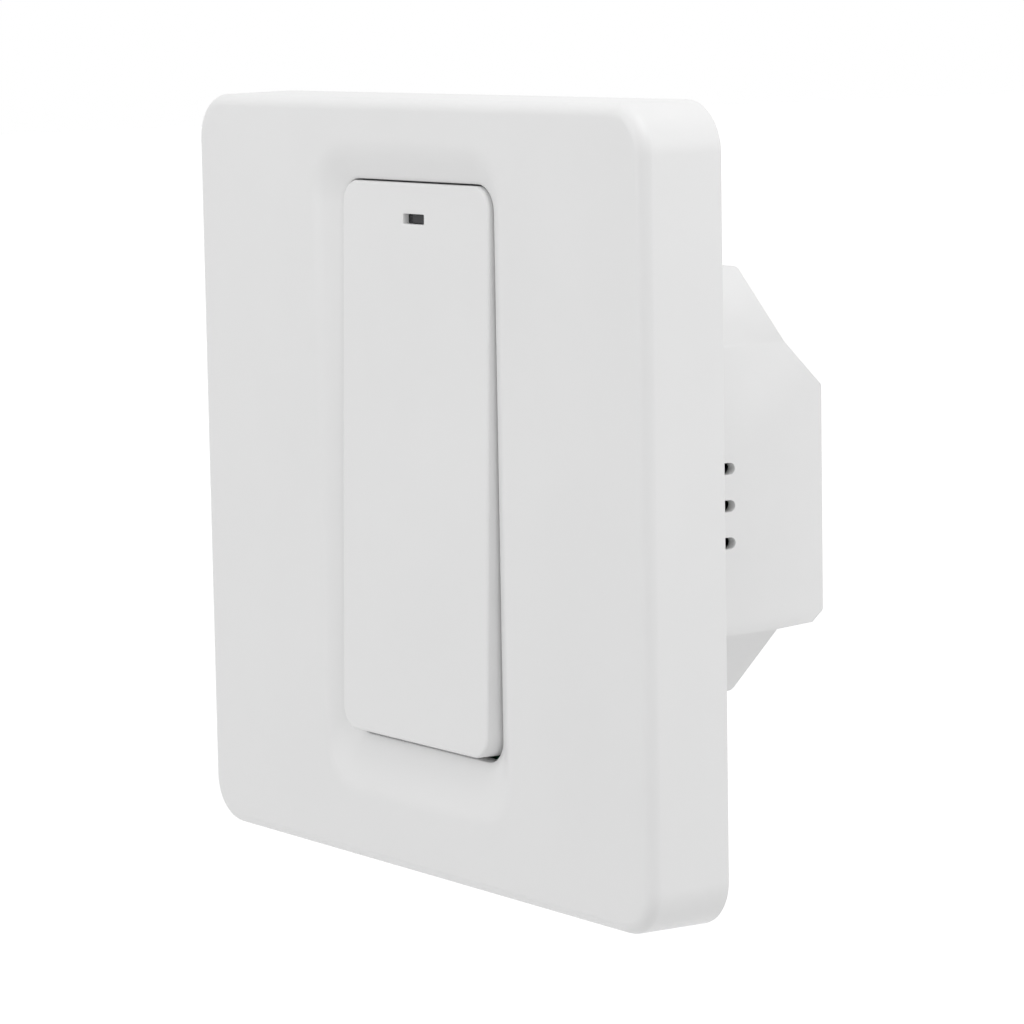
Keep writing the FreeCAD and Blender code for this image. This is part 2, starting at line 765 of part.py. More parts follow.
for side in signs:
    draw_slot(through, side + "fixing_spacing / 2", "0", "fixing_slot_length", "fixing_slot_width")
    for level in signs:
        hook_low = level + "hook_spacing_z / 2 - hook_length_z / 2 - hook_wall_gap"
        hook_high = level + "hook_spacing_z / 2 + hook_length_z / 2 + hook_wall_gap"
        near = side + "(%s - hook_thickness / 2 - hook_wall_gap)" % hook_x
        far = side + "(%s + hook_thickness / 2 + hook_play)" % hook_x
        draw_box(through, near, hook_low, far, hook_high)
for x, z in corner_screws:
    draw_circle(through, x, z, "housing_screw_radius + screw_play")
window_width = link_width + " + 2 * link_window_play"
draw_centred_box(through, "0", "-link_drop", window_width, "link_spacer_width + 2 * link_window_play")
tray = pocket(frame, through, "frame_base + fixing_boss_height")
countersunk = [
    name
    for name in edges_where(tray, lambda p: at_depth(p, -sizes["frame_base"]))
    if isinstance(tray.Shape.getElement(name).Curve, Part.Circle)
    and abs(tray.Shape.getElement(name).Curve.Radius - number("housing_screw_radius + screw_play")) < 1e-6
]
sink = frame.newObject("PartDesign::Chamfer", "mounting_frame_sink")
sink.Base = (tray, countersunk)
sink.setExpression("Size", bound("housing_screw_head_radius - housing_screw_radius"))
tray = finish_feature(frame, sink, "round")
ledges = new_sketch(frame, "XZ_Plane")
for side in signs:
    for level in signs:
        hook_low = level + "hook_spacing_z / 2 - hook_length_z / 2 - hook_wall_gap"
        hook_high = level + "hook_spacing_z / 2 + hook_length_z / 2 + hook_wall_gap"
        near = side + hook_x
        far = side + "(%s + hook_thickness / 2 + hook_play + hook_relief)" % hook_x
        draw_box(ledges, near, hook_low, far, hook_high)
tray = pocket(frame, ledges, "hook_ledge", backward=False)
pilots = new_sketch(frame, "XZ_Plane", "frame_base + control_board_stand")
for x, z in board_screws:
    draw_circle(pilots, x, z, "board_screw_radius + screw_play")
tray = pocket(frame, pilots, "board_screw_length - board_thickness + screw_end_gap")

# Rear housing: an eight-sided box, deeper at the top than at the bottom, with a block behind it
# that slopes off at the top
housing = new_body("rear_housing")
half_wide = "housing_width / 2"
half_tall = "housing_height / 2"
half_flat = "housing_flat / 2"
low_step = "(housing_step_depth - housing_step_difference)"
slope_run = "(housing_depth - housing_step_depth)"
slope_fall = "(housing_flat / 2 - slope_low_rise)"
slope_length = "sqrt(%s ^ 2 + %s ^ 2)" % (slope_run, slope_fall)


def draw_octagon(sketch, inset):
    """The housing's eight-sided outline, moved in on every side by an inset."""
    wide = "(%s - (%s))" % (half_wide, inset)
    tall = "(%s - (%s))" % (half_tall, inset)
    side_flat = "(%s - (%s) * (sqrt(2) - 1))" % (half_flat, inset)
    draw_polygon(
        sketch,
        [
            ("-" + wide, "-" + side_flat),
            ("-" + side_flat, "-" + tall),
            (side_flat, "-" + tall),
            (wide, "-" + side_flat),
            (wide, side_flat),
            (side_flat, tall),
            ("-" + side_flat, tall),
            ("-" + wide, side_flat),
        ],
    )


def draw_upper_octagon(sketch, inset):
    """The part of the same outline that lies above the middle."""
    wide = "(%s - (%s))" % (half_wide, inset)
    tall = "(%s - (%s))" % (half_tall, inset)
    side_flat = "(%s - (%s) * (sqrt(2) - 1))" % (half_flat, inset)
    draw_polygon(
        sketch,
        [
            ("-" + wide, "0"),
            (wide, "0"),
            (wide, side_flat),
            (side_flat, tall),
            ("-" + side_flat, tall),
            ("-" + wide, side_flat),
        ],
    )


def slope_z(y, inset):
    """Height of the slope's line at a depth, for a line moved in by an inset."""
    return "(%s - ((%s - housing_step_depth) * %s + (%s) * %s) / %s)" % (
        half_flat, y, slope_fall, inset, slope_length, slope_run
    )


box_outline = new_sketch(housing, "XZ_Plane")
draw_octagon(box_outline, "0")
case = pad(housing, box_outline, low_step)
upper_outline = new_sketch(housing, "XZ_Plane", "-" + low_step)
draw_upper_octagon(upper_outline, "0")
case = pad(housing, upper_outline, "housing_step_difference")
side_view = new_sketch(housing, "YZ_Plane")
draw_polygon(
    side_view,
    [
        ("housing_step_depth / 2", "-" + half_flat),
        ("housing_depth - block_chamfer", "-" + half_flat),
        ("housing_depth", "-(%s - block_chamfer)" % half_flat),
        ("housing_depth", "slope_low_rise"),
        ("housing_step_depth", half_flat),
        ("housing_step_depth / 2", half_flat),
    ],
)
case = pad(housing, side_view, "housing_width", both=True)


def outer_edge(points):
    """An edge of the housing that a finger meets, clear of the corners where the block starts."""
    corners = [
        vec(number(half_wide), sizes["housing_step_depth"], number(half_flat)),
        vec(number(half_wide), number(low_step), -number(half_flat)),
    ]
    at_corner = any((vec(abs(p.x), p.y, p.z) - corner).Length < 1e-5 for p in points for corner in corners)
    at_mouth = at_depth(points, 0)
    at_step = any(at_depth(points, corner.y) for corner in corners)
    at_top = all(abs(abs(p.z) - number(half_tall)) < 1e-6 for p in points)
    return not at_corner and not at_mouth and (at_top or not at_step)


case = round_edges(housing, case, outer_edge, "housing_edge_radius")
inner_outline = new_sketch(housing, "XZ_Plane")
draw_octagon(inner_outline, "housing_wall")
case = pocket(housing, inner_outline, "%s - housing_wall" % low_step)
upper_inner = new_sketch(housing, "XZ_Plane", "-(%s - housing_wall)" % low_step)
draw_upper_octagon(upper_inner, "housing_wall")
case = pocket(housing, upper_inner, "housing_step_difference")
inner_view = new_sketch(housing, "YZ_Plane")
inner_rear = "(housing_depth - housing_wall)"
inner_step = "(housing_step_depth - housing_wall)"
draw_polygon(
    inner_view,
    [
        ("housing_step_depth / 2", "-(%s - housing_wall)" % half_flat),
        (inner_rear, "-(%s - housing_wall)" % half_flat),
        (inner_rear, slope_z(inner_rear, "housing_wall")),
        (inner_step, slope_z(inner_step, "housing_wall")),
        ("housing_step_depth / 2", slope_z(inner_step, "housing_wall")),
    ],
)
case = pocket(housing, inner_view, "housing_width - 2 * housing_wall", both=True)
power_rear = "(power_board_depth + power_board_thickness)"
foot_middle = "(pillar_spacing / 2 + (pillar_width - pillar_foot_width) / 2)"
for level, pillar_end in (("-", low_step), ("", "housing_step_depth")):
    pillars = new_sketch(housing, "XZ_Plane")
    feet = new_sketch(housing, "XZ_Plane", "-" + power_rear)
    for side in signs:
        pillar_x = side + "pillar_spacing / 2"
        draw_centred_box(pillars, pillar_x, level + "pillar_spacing / 2", "pillar_width", "pillar_width")
        foot_x = side + foot_middle
        draw_centred_box(feet, foot_x, level + foot_middle, "pillar_foot_width", "pillar_foot_width")
    pad(housing, pillars, "%s - housing_wall / 2" % pillar_end)
    case = pad(housing, feet, "%s - housing_wall / 2 - %s" % (pillar_end, power_rear))
holes = new_sketch(housing, "XZ_Plane")
for x, z in corner_screws:
    draw_circle(holes, x, z, "housing_screw_radius + screw_play")
case = pocket(housing, holes, "housing_screw_length - frame_base + screw_end_gap")
vent = new_sketch(housing, "YZ_Plane")
draw_slot(vent, "(vent_end_depth - vent_length / 2)", "-vent_low_drop", "vent_length", "vent_width")
vented = pocket(housing, vent, "housing_width + 2", both=True)
vent_row = housing.newObject("PartDesign::LinearPattern", "rear_housing_vents")
vent_row.Originals = [vented]
vent_row.Direction = (vent, ["V_Axis"])
vent_row.setExpression("Length", bound("vent_pitch * (vent_count - 1)"))
vent_row.Occurrences = int(sizes["vent_count"])
housing.Tip = vent_row
doc.recompute()

# Wire ports through the slope, and holes for the screwdriver in the rear face
poles = ("-pole_pitch", "0", "pole_pitch")
slope_angle = math.degrees(math.atan2(number(slope_fall), number(slope_run)))
slope_turn = FreeCAD.Rotation(vec(1, 0, 0), -slope_angle)


def slope_sketch(body):
    """A sketch on the slope, with its origin in the middle of the row of ports."""
    sketch = new_sketch(body, "XY_Plane")
    sketch.AttachmentOffset = FreeCAD.Placement(vec(0, 0, 0), slope_turn)
    port_y = "housing_step_depth + port_reach * %s / %s" % (slope_run, slope_length)
    port_z = "%s - port_reach * %s / %s" % (half_flat, slope_fall, slope_length)
    sketch.setExpression("AttachmentOffset.Base.y", bound(port_y))
    sketch.setExpression("AttachmentOffset.Base.z", bound(port_z))
    for pole in poles:
        draw_centred_box(sketch, pole, "0", "port_width", "port_height")
    return sketch


ports = slope_sketch(housing)
case = pocket(housing, ports, "housing_wall + 1")
drivers = new_sketch(housing, "XZ_Plane", "-housing_depth")
for pole in poles:
    draw_circle(drivers, pole, "terminal_z", "driver_hole_radius")
case = pocket(housing, drivers, "housing_wall + 1", backward=False)

# Control board on its stands, in front of the frame
control = new_body("control_board")
control_outline = new_sketch(control, "XZ_Plane", control_back)
draw_centred_round_box(
    control_outline,
    "0",
    "control_board_rise",
    "control_board_width",
    control_height,
    "board_corner_radius",
)
pad(control, control_outline, "board_thickness", backward=False)
control_holes = new_sketch(control, "XZ_Plane", control_face)
for x, z in board_screws:
    draw_circle(control_holes, x, z, "board_screw_radius + screw_play")
pin_places = [
    ("(%d - (link_pins - 1) / 2) * link_pin_spacing" % index, "-link_drop")
    for index in range(int(sizes["link_pins"]))
]
pin_hole = "link_pin_width + 2 * link_pin_play"
for x, z in pin_places:
    draw_centred_box(control_holes, x, z, pin_hole, pin_hole)
pocket(control, control_holes, "board_thickness + 1")


def group_body(name):
    """A body that holds several like solids."""
    body = new_body(name)
    body.AllowCompound = True
    return body


# Screws that hold the control board
small_screws = group_body("control_board_screws")
heads = new_sketch(small_screws, "XZ_Plane", control_face)
shanks = new_sketch(small_screws, "XZ_Plane", control_face)
for x, z in board_screws:
    draw_circle(heads, x, z, "board_screw_head_radius")
    draw_circle(shanks, x, z, "board_screw_radius")
pad(small_screws, heads, "board_screw_head", backward=False)
pad(small_screws, shanks, "board_screw_length")

# Screws from the frame into the housing: countersunk heads
long_screws = group_body("housing_screws")
heads = new_sketch(long_screws, "XZ_Plane", "frame_base")
shanks = new_sketch(long_screws, "XZ_Plane", "frame_base")
for x, z in corner_screws:
    draw_circle(heads, x, z, "housing_screw_head_radius")
    draw_circle(shanks, x, z, "housing_screw_radius")
pad(long_screws, heads, "housing_screw_head_radius - housing_screw_radius", taper="-45")
pad(long_screws, shanks, "housing_screw_length")

# Tact switch: a square body with a round well for its plunger
tact = new_body("tact_switch_body")
tact_outline = new_sketch(tact, "XZ_Plane", control_face)
draw_centred_round_box(tact_outline, "0", "tact_rise", "tact_width", "tact_width", "tact_corner_radius")
pad(tact, tact_outline, "tact_body", backward=False)
well = new_sketch(tact, "XZ_Plane", "%s + tact_body" % control_face)
draw_circle(well, "0", "tact_rise", "tact_plunger_radius + tact_plunger_play")
pocket(tact, well, "tact_body - tact_floor")
plunger = new_body("tact_switch_plunger")
cap = new_sketch(plunger, "XZ_Plane", plunger_tip)
draw_circle(cap, "0", "tact_rise", "tact_plunger_radius")
pressed = pad(plunger, cap, "tact_plunger_height + tact_plunger_root")
round_edges(plunger, pressed, lambda p: at_depth(p, -number(plunger_tip)), "tact_cap_bevel", "Chamfer")

# Light behind the lens
led = new_body("status_led")
led_outline = new_sketch(led, "XZ_Plane", control_face)
draw_centred_box(led_outline, "0", slot_z, "led_width", "led_height")
pad(led, led_outline, "led_thickness", backward=False)
led_window = new_sketch(led, "XZ_Plane", "%s + led_thickness" % control_face)
draw_circle(led_window, "0", slot_z, "led_window_radius")
pocket(led, led_window, "led_window_depth")

# Radio module: a small board under a shield can
radio = new_body("radio_module_board")
radio_outline = new_sketch(radio, "XZ_Plane", control_face)
radio_z = "(%s - radio_drop)" % board_high
draw_centred_box(radio_outline, "0", radio_z, "radio_width", "radio_height")
pad(radio, radio_outline, "radio_board", backward=False)
can = new_body("radio_shield_can")
can_outline = new_sketch(can, "XZ_Plane", "%s + radio_board" % control_face)
draw_centred_round_box(
    can_outline, "0", radio_z + " - can_drop", "can_width", "can_height", "can_corner_radius"
)
lid = pad(can, can_outline, "can_thickness", backward=False)
round_edges(
    can,
    lid,
    lambda p: at_depth(p, -number("%s + radio_board + can_thickness" % control_face)),
    "can_edge_bevel",
    "Chamfer",
)

# Pin header that joins the two boards through the frame's window
pins = group_body("link_header_pins")
pin_outline = new_sketch(pins, "XZ_Plane", "%s + link_pin_proud" % control_face)
for x, z in pin_places:
    draw_centred_box(pin_outline, x, z, "link_pin_width", "link_pin_width")
pad(pins, pin_outline, "%s + 2 * link_pin_proud + %s" % (control_face, power_rear))
spacers = group_body("link_header_spacers")
for start in (control_back, "-(power_board_depth - link_spacer_height)"):
    strip = new_sketch(spacers, "XZ_Plane", start)
    draw_centred_box(strip, "0", "-link_drop", link_width, "link_spacer_width")
    for x, z in pin_places:
        draw_centred_box(strip, x, z, "link_pin_width", "link_pin_width")
    pad(spacers, strip, "link_spacer_height")

# Power board, held between the housing's pillars and the frame's posts
power = new_body("power_board")
power_outline = new_sketch(power, "XZ_Plane", "-power_board_depth")
draw_octagon(power_outline, "housing_wall + power_board_gap")
pad(power, power_outline, "power_board_thickness")
power_holes = new_sketch(power, "XZ_Plane", "-power_board_depth")
for x, z in pin_places:
    draw_centred_box(power_holes, x, z, pin_hole, pin_hole)
relay_pin_places = [
    ("relay_x %s relay_pin_spacing_x / 2" % side, "relay_z %s relay_pin_spacing_z / 2" % level)
    for side in "-+"
    for level in "-+"
]
relay_hole = "relay_pin_width + 2 * relay_pin_play"
for x, z in relay_pin_places:
    draw_centred_box(power_holes, x, z, relay_hole, relay_hole)
pocket(power, power_holes, "power_board_thickness + 1")
notches = new_sketch(power, "XZ_Plane", "-power_board_depth")
notch_width = "pillar_width + 2 * pillar_notch_play"
for x, z in pillar_places:
    draw_centred_box(notches, x, z, notch_width, notch_width)
pocket(power, notches, "power_board_thickness + 1")

# Terminal block: three cells, each with a rising clamp worked by a screw
block_rear = "(housing_depth - housing_wall - block_rear_gap)"
roof_y = "(%s - chamber_roof)" % block_rear
seat_y = "(%s + head_seat)" % roof_y
block_inset = "(housing_wall + block_slope_gap)"
block_slope_y = "(housing_step_depth + ((%s - block_high_z) * %s - %s * %s) / %s)" % (
    half_flat, slope_run, block_inset, slope_length, slope_fall
)
block = new_body("terminal_block")
block_view = new_sketch(block, "YZ_Plane")
draw_polygon(
    block_view,
    [
        (power_rear, "block_low_z"),
        (block_rear, "block_low_z"),
        (block_rear, slope_z(block_rear, block_inset)),
        (block_slope_y, "block_high_z"),
        (power_rear, "block_high_z"),
    ],
)
moulding = pad(block, block_view, "block_width", both=True)
cells = new_sketch(block, "XZ_Plane", "-" + power_rear)
chamber_middle = "(chamber_low_z + chamber_high_z) / 2"
for pole in poles:
    draw_centred_box(cells, pole, chamber_middle, "chamber_width", "chamber_high_z - chamber_low_z")
moulding = pocket(block, cells, "%s - %s" % (roof_y, power_rear), backward=True)
necks = new_sketch(block, "XZ_Plane", "-" + block_rear)
seats = new_sketch(block, "XZ_Plane", "-" + block_rear)
for pole in poles:
    draw_circle(necks, pole, "terminal_z", "terminal_screw_radius + terminal_play")
    draw_circle(seats, pole, "terminal_z", "terminal_head_radius + terminal_play")
moulding = pocket(block, necks, "chamber_roof + 1", backward=False)
moulding = pocket(block, seats, "chamber_roof - head_seat", backward=False)
moulding = pocket(block, slope_sketch(block), "channel_depth")
clamp_y = "(%s + clamp_end_gap)" % power_rear
bar_rear = "(%s + clamp_length - clamp_nut - bar_nut_gap)" % clamp_y
bar_front = "(%s - bar_thickness)" % bar_rear
for pole in poles:
    slit = new_sketch(block, "YZ_Plane", pole)
    draw_box(slit, bar_front, "block_low_z - 1", bar_rear, "chamber_low_z + 1")
    moulding = pocket(block, slit, "bar_width", both=True)

# Bars that the wires are clamped against, each bent down to the power board
bars = group_body("terminal_bars")
for pole in poles:
    bar_view = new_sketch(bars, "YZ_Plane", pole)
    draw_polygon(
        bar_view,
        [
            (power_rear, "block_low_z - bar_thickness - bar_block_gap"),
            (bar_rear, "block_low_z - bar_thickness - bar_block_gap"),
            (bar_rear, "chamber_high_z - bar_end_gap"),
            (bar_front, "chamber_high_z - bar_end_gap"),
            (bar_front, "block_low_z - bar_block_gap"),
            (power_rear, "block_low_z - bar_block_gap"),
        ],
    )
    pad(bars, bar_view, "bar_width", both=True)

# Screws and rising clamps of the three poles, drawn open
screws = []
clamps = []
for index, pole in enumerate(poles, 1):
    clamp = new_body("terminal_clamp_%d" % index)
    ring = new_sketch(clamp, "XY_Plane", "terminal_z")
    draw_box(
        ring, pole + " - clamp_width / 2", clamp_y, pole + " + clamp_width / 2", clamp_y + " + clamp_length"
    )
    draw_box(
        ring,
        pole + " - clamp_width / 2 + clamp_wall",
        clamp_y + " + clamp_wall",
        pole + " + clamp_width / 2 - clamp_wall",
        clamp_y + " + clamp_length - clamp_nut",
    )
    pad(clamp, ring, "clamp_height", both=True)
    thread = new_sketch(clamp, "XZ_Plane", "-(%s + clamp_length)" % clamp_y)
    draw_circle(thread, pole, "terminal_z", "terminal_screw_radius + screw_play")
    pocket(clamp, thread, "clamp_nut + 0.5", backward=False)
    clamps.append(clamp)
    screw = new_body("terminal_screw_%d" % index)
    head = new_sketch(screw, "XZ_Plane", "-" + seat_y)
    draw_circle(head, pole, "terminal_z", "terminal_head_radius")
    pad(screw, head, "terminal_head")
    shank = new_sketch(screw, "XZ_Plane", "-" + seat_y)
    draw_circle(shank, pole, "terminal_z", "terminal_screw_radius")
    pad(screw, shank, "%s - %s - terminal_tip_gap" % (seat_y, bar_rear), backward=False)
    groove = new_sketch(screw, "XZ_Plane", "-(%s + terminal_head)" % seat_y)
    draw_centred_box(groove, pole, "terminal_z", "2.2 * terminal_head_radius", "screw_slot_width")
    pocket(screw, groove, "screw_slot_depth", backward=False)
    screws.append(screw)

# Relay: a sealed case on four small feet, with its pins through the board
relay = new_body("relay_case")
relay_rear = "(power_board_depth - relay_stand)"
relay_outline = new_sketch(relay, "XZ_Plane", "-" + relay_rear)
draw_centred_round_box(
    relay_outline, "relay_x", "relay_z", "relay_width", "relay_height", "relay_corner_radius"
)
shell = pad(relay, relay_outline, "relay_depth", backward=False)
relay_front = number("%s - relay_depth" % relay_rear)
round_edges(relay, shell, lambda p: at_depth(p, relay_front), "relay_edge_bevel", "Chamfer")
relay_feet = new_sketch(relay, "XZ_Plane", "-" + relay_rear)
for side in signs:
    for level in signs:
        foot_x = "relay_x %s (relay_width / 2 - relay_foot)" % (side or "+")
        foot_z = "relay_z %s (relay_height / 2 - 2 * relay_foot)" % (level or "+")
        draw_centred_box(relay_feet, foot_x, foot_z, "relay_foot", "relay_foot")
pad(relay, relay_feet, "relay_stand")
relay_pins = group_body("relay_pins")
relay_pin_outline = new_sketch(relay_pins, "XZ_Plane", "-" + relay_rear)
for x, z in relay_pin_places:
    draw_centred_box(relay_pin_outline, x, z, "relay_pin_width", "relay_pin_width")
pad(relay_pins, relay_pin_outline, "relay_stand + power_board_thickness + relay_pin_proud")


# Plain solids for the remaining parts on the board
def place_solid(item, x, y, z):
    for axis, text in zip("xyz", (x, y, z)):
        item.setExpression("Placement.Base." + axis, bound(text))
    return item


def box_solid(x, front, z, width, depth, height):
    """A box centred across and up, from its front face towards the wall."""
    item = doc.addObject("Part::Box", "block")
    for side, text in zip(("Length", "Width", "Height"), (width, depth, height)):
        item.setExpression(side, bound(text))
    return place_solid(item, "%s - (%s) / 2" % (x, width), front, "%s - (%s) / 2" % (z, height))


turn_to = {
    "x": FreeCAD.Rotation(vec(0, 1, 0), 90),
    "y": FreeCAD.Rotation(vec(1, 0, 0), -90),
    "z": FreeCAD.Rotation(),
}


def rod_solid(direction, x, y, z, radius, length):
    """A cylinder that starts at a point and runs along one axis."""
    item = doc.addObject("Part::Cylinder", "rod")
    item.setExpression("Radius", bound(radius))
    item.setExpression("Height", bound(length))
    item.Placement = FreeCAD.Placement(vec(0, 0, 0), turn_to[direction])
    return place_solid(item, x, y, z)


def joined(name, pieces):
    item = doc.addObject("Part::MultiFuse", name)
    item.Label = name
    item.Shapes = pieces
    return item


def cut_from(name, base, tool):
    item = doc.addObject("Part::Cut", name)
    item.Label = name
    item.Base = base
    item.Tool = tool
    return item


# Transformer: a core with two windows, a bobbin on its middle leg, and the winding
core_front = "(power_board_depth - bobbin_foot - core_depth)"
window_front = "(%s + core_leg)" % core_front
window_depth = "(core_depth - 2 * core_leg)"
window_width = "((core_width - 4 * core_leg) / 2)"
windows = [
    box_solid(
        "transformer_x %s (core_leg + %s / 2)" % (side or "+", window_width),
        window_front,
        "transformer_z",
        window_width,
        window_depth,
        "core_height + 1",
    )
    for side in signs
]
core_block = box_solid(
    "transformer_x", core_front, "transformer_z", "core_width", "core_depth", "core_height"
)
core = cut_from("transformer_core", core_block, joined("core_windows", windows))
hub_width = "2 * (core_leg + winding_play + bobbin_hub_wall)"
bobbin_front = "(%s + winding_play)" % window_front
bobbin_depth = "(%s - 2 * winding_play)" % window_depth
bobbin_rear = "(%s + %s - bobbin_flange)" % (bobbin_front, bobbin_depth)
rail_z = "(bobbin_height / 2 - bobbin_rail / 2)"
bobbin_pieces = [
    box_solid("transformer_x", bobbin_front, "transformer_z", hub_width, bobbin_depth, hub_width)
]
for flange_front in (bobbin_front, bobbin_rear):
    bobbin_pieces.append(
        box_solid(
            "transformer_x", flange_front, "transformer_z", "bobbin_width", "bobbin_flange", "bobbin_height"
        )
    )
for level in signs:
    bobbin_pieces.append(
        box_solid(
            "transformer_x",
            bobbin_rear,
            "transformer_z %s %s" % (level or "+", rail_z),
            "bobbin_width",
            "power_board_depth - %s" % bobbin_rear,
            "bobbin_rail",
        )
    )
leg_hole = box_solid(
    "transformer_x",
    core_front,
    "transformer_z",
    "2 * (core_leg + winding_play)",
    "core_depth",
    "core_height + 2 * winding_play",
)
bobbin = cut_from("transformer_bobbin", joined("bobbin_frame", bobbin_pieces), leg_hole)
winding = new_body("transformer_winding")
turns = new_sketch(winding, "XZ_Plane", "-(%s + bobbin_flange + winding_play)" % bobbin_front)
draw_centred_round_box(
    turns,
    "transformer_x",
    "transformer_z",
    "bobbin_width - 2 * winding_sink",
    "bobbin_height - 2 * winding_sink",
    "winding_corner_radius",
)
winding_hole = hub_width + " + 2 * winding_play"
draw_centred_box(turns, "transformer_x", "transformer_z", winding_hole, winding_hole)
pad(winding, turns, "%s - 2 * bobbin_flange - 2 * winding_play" % bobbin_depth)

# Two electrolytic capacitors
bulk = group_body("bulk_capacitors")
can_top = "(power_board_depth - bulk_height)"
rings = new_sketch(bulk, "XZ_Plane", "-power_board_depth")
for x in ("bulk_x", "bulk_x + bulk_pitch"):
    draw_circle(rings, x, "-bulk_drop", "bulk_radius")
cans = pad(bulk, rings, "bulk_height", backward=False)
round_edges(bulk, cans, lambda p: at_depth(p, number(can_top)), "bulk_edge_bevel", "Chamfer")

# Boxed film capacitor across the supply
film = new_body("safety_capacitor")
film_outline = new_sketch(film, "XZ_Plane", "-power_board_depth")
draw_centred_round_box(film_outline, "film_x", "-film_drop", "film_width", "film_height", "film_edge_radius")
film_case = pad(film, film_outline, "film_depth", backward=False)
film_front = number("power_board_depth - film_depth")
round_edges(film, film_case, lambda p: at_depth(p, film_front), "film_edge_radius", "Chamfer")

# Varistor: a disc that stands on two leads
disc_y = "(power_board_depth - lead_length - varistor_radius)"
disc_low = "varistor_z - varistor_thickness / 2"
varistor_pieces = [
    rod_solid("z", "varistor_x", disc_y, disc_low, "varistor_radius", "varistor_thickness")
]
for side in signs:
    lead_x = "varistor_x %s varistor_lead_pitch / 2" % (side or "+")
    varistor_pieces.append(
        box_solid(lead_x, disc_y, "varistor_z", "lead_width", "lead_length + varistor_radius", "lead_width")
    )
varistor = joined("varistor", varistor_pieces)

# Fusible resistor, lying a little above the board on bent leads
fuse_y = "(power_board_depth - fuse_lift - fuse_radius)"
fuse_reach = "(fuse_length / 2 + fuse_lead_reach)"
lead_front = "(%s - lead_width / 2)" % fuse_y
fuse_pieces = [
    rod_solid("x", "fuse_x - fuse_length / 2", fuse_y, "fuse_z", "fuse_radius", "fuse_length"),
    box_solid("fuse_x", lead_front, "fuse_z", "2 * %s + lead_width" % fuse_reach, "lead_width", "lead_width"),
]
for side in signs:
    leg_x = "fuse_x %s %s" % (side or "+", fuse_reach)
    leg_length = "power_board_depth - " + lead_front
    fuse_pieces.append(box_solid(leg_x, lead_front, "fuse_z", "lead_width", leg_length, "lead_width"))
fuse = joined("fuse_resistor", fuse_pieces)

# Line choke: a drum core and its winding
drum_front = "(power_board_depth - choke_depth)"
drum_pieces = [
    rod_solid("y", "choke_x", drum_front, "choke_z", "choke_radius", "choke_flange"),
    rod_solid("y", "choke_x", "power_board_depth - choke_flange", "choke_z", "choke_radius", "choke_flange"),
    rod_solid("y", "choke_x", drum_front, "choke_z", "choke_neck_radius", "choke_depth"),
]
drum = joined("line_choke_core", drum_pieces)
coil_front = "(%s + choke_flange + winding_play)" % drum_front
coil_depth = "(choke_depth - 2 * choke_flange - 2 * winding_play)"
coil_pieces = [
    rod_solid("y", "choke_x", coil_front, "choke_z", radius, coil_depth)
    for radius in ("choke_winding_radius", "choke_neck_radius + winding_play")
]
coil = cut_from("line_choke_winding", coil_pieces[0], coil_pieces[1])

# Bridge rectifier: a flat case with four legs
bridge_front = "(power_board_depth - bridge_depth)"
bridge_pieces = [
    box_solid("bridge_x", bridge_front, "bridge_z", "bridge_width", "bridge_depth", "bridge_height")
]
for side in signs:
    bridge_pieces.append(
        box_solid(
            "bridge_x %s bridge_leg_pitch / 2" % (side or "+"),
            "power_board_depth - bridge_leg_thickness",
            "bridge_z",
            "bridge_leg_width",
            "bridge_leg_thickness",
            "bridge_height + 2 * bridge_leg_reach",
        )
    )
bridge = joined("bridge_rectifier", bridge_pieces)
doc.recompute()

# Check every object, then write each piece
nodes = [cover, rocker, lens, frame, housing, long_screws]
nodes += [control, small_screws, tact, plunger, led, radio, can, pins, spacers]
nodes += [power, relay, relay_pins, core, bobbin, winding, bulk, film, varistor, fuse, drum, coil, bridge]
nodes += [block, bars] + screws + clamps
for item in doc.Objects:
    if "Invalid" in item.State or "Error" in item.State:
        raise RuntimeError("%s: %s" % (item.Label, item.State))
for node in nodes:
    if node.Shape.isNull() or not node.Shape.isValid():
        raise RuntimeError("%s: no valid shape" % node.Label)
os.makedirs("parts", exist_ok=True)
for node in nodes:
    node.Shape.exportStep("parts/%s.step" % node.Label)
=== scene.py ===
import math

import bmesh
import bpy
from mathutils import Matrix, Vector


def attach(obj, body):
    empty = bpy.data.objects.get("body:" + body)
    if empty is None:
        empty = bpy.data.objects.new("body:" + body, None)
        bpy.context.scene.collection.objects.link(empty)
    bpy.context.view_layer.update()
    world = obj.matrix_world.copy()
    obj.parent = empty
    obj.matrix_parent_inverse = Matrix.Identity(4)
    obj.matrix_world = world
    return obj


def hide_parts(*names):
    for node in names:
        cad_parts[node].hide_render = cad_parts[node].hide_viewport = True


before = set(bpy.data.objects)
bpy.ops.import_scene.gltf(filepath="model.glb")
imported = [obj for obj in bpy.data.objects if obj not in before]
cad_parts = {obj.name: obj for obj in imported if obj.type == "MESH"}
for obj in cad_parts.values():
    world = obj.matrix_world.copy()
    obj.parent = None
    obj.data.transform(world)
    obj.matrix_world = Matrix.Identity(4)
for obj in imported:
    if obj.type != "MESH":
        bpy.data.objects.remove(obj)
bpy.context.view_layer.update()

MM = 0.001

# Rear housing: the eight-sided box that goes into the wall box, moulded in white plastic.
# The tool leaves a fine spark grain outside; vents are open at both sides, and the wires and
# the screwdriver come in through the slope and the back.


def feed(tree, node, values):
    """A node's inputs, each from a value or from another node's output."""
    for name, value in values.items():
        if isinstance(value, bpy.types.NodeSocket):
            tree.links.new(value, node.inputs[name])
        else:
            node.inputs[name].default_value = value


def add_node(tree, kind, values=None, **settings):
    made = tree.nodes.new(kind)
    for name, value in settings.items():
        setattr(made, name, value)
    feed(tree, made, values or {})
    return made


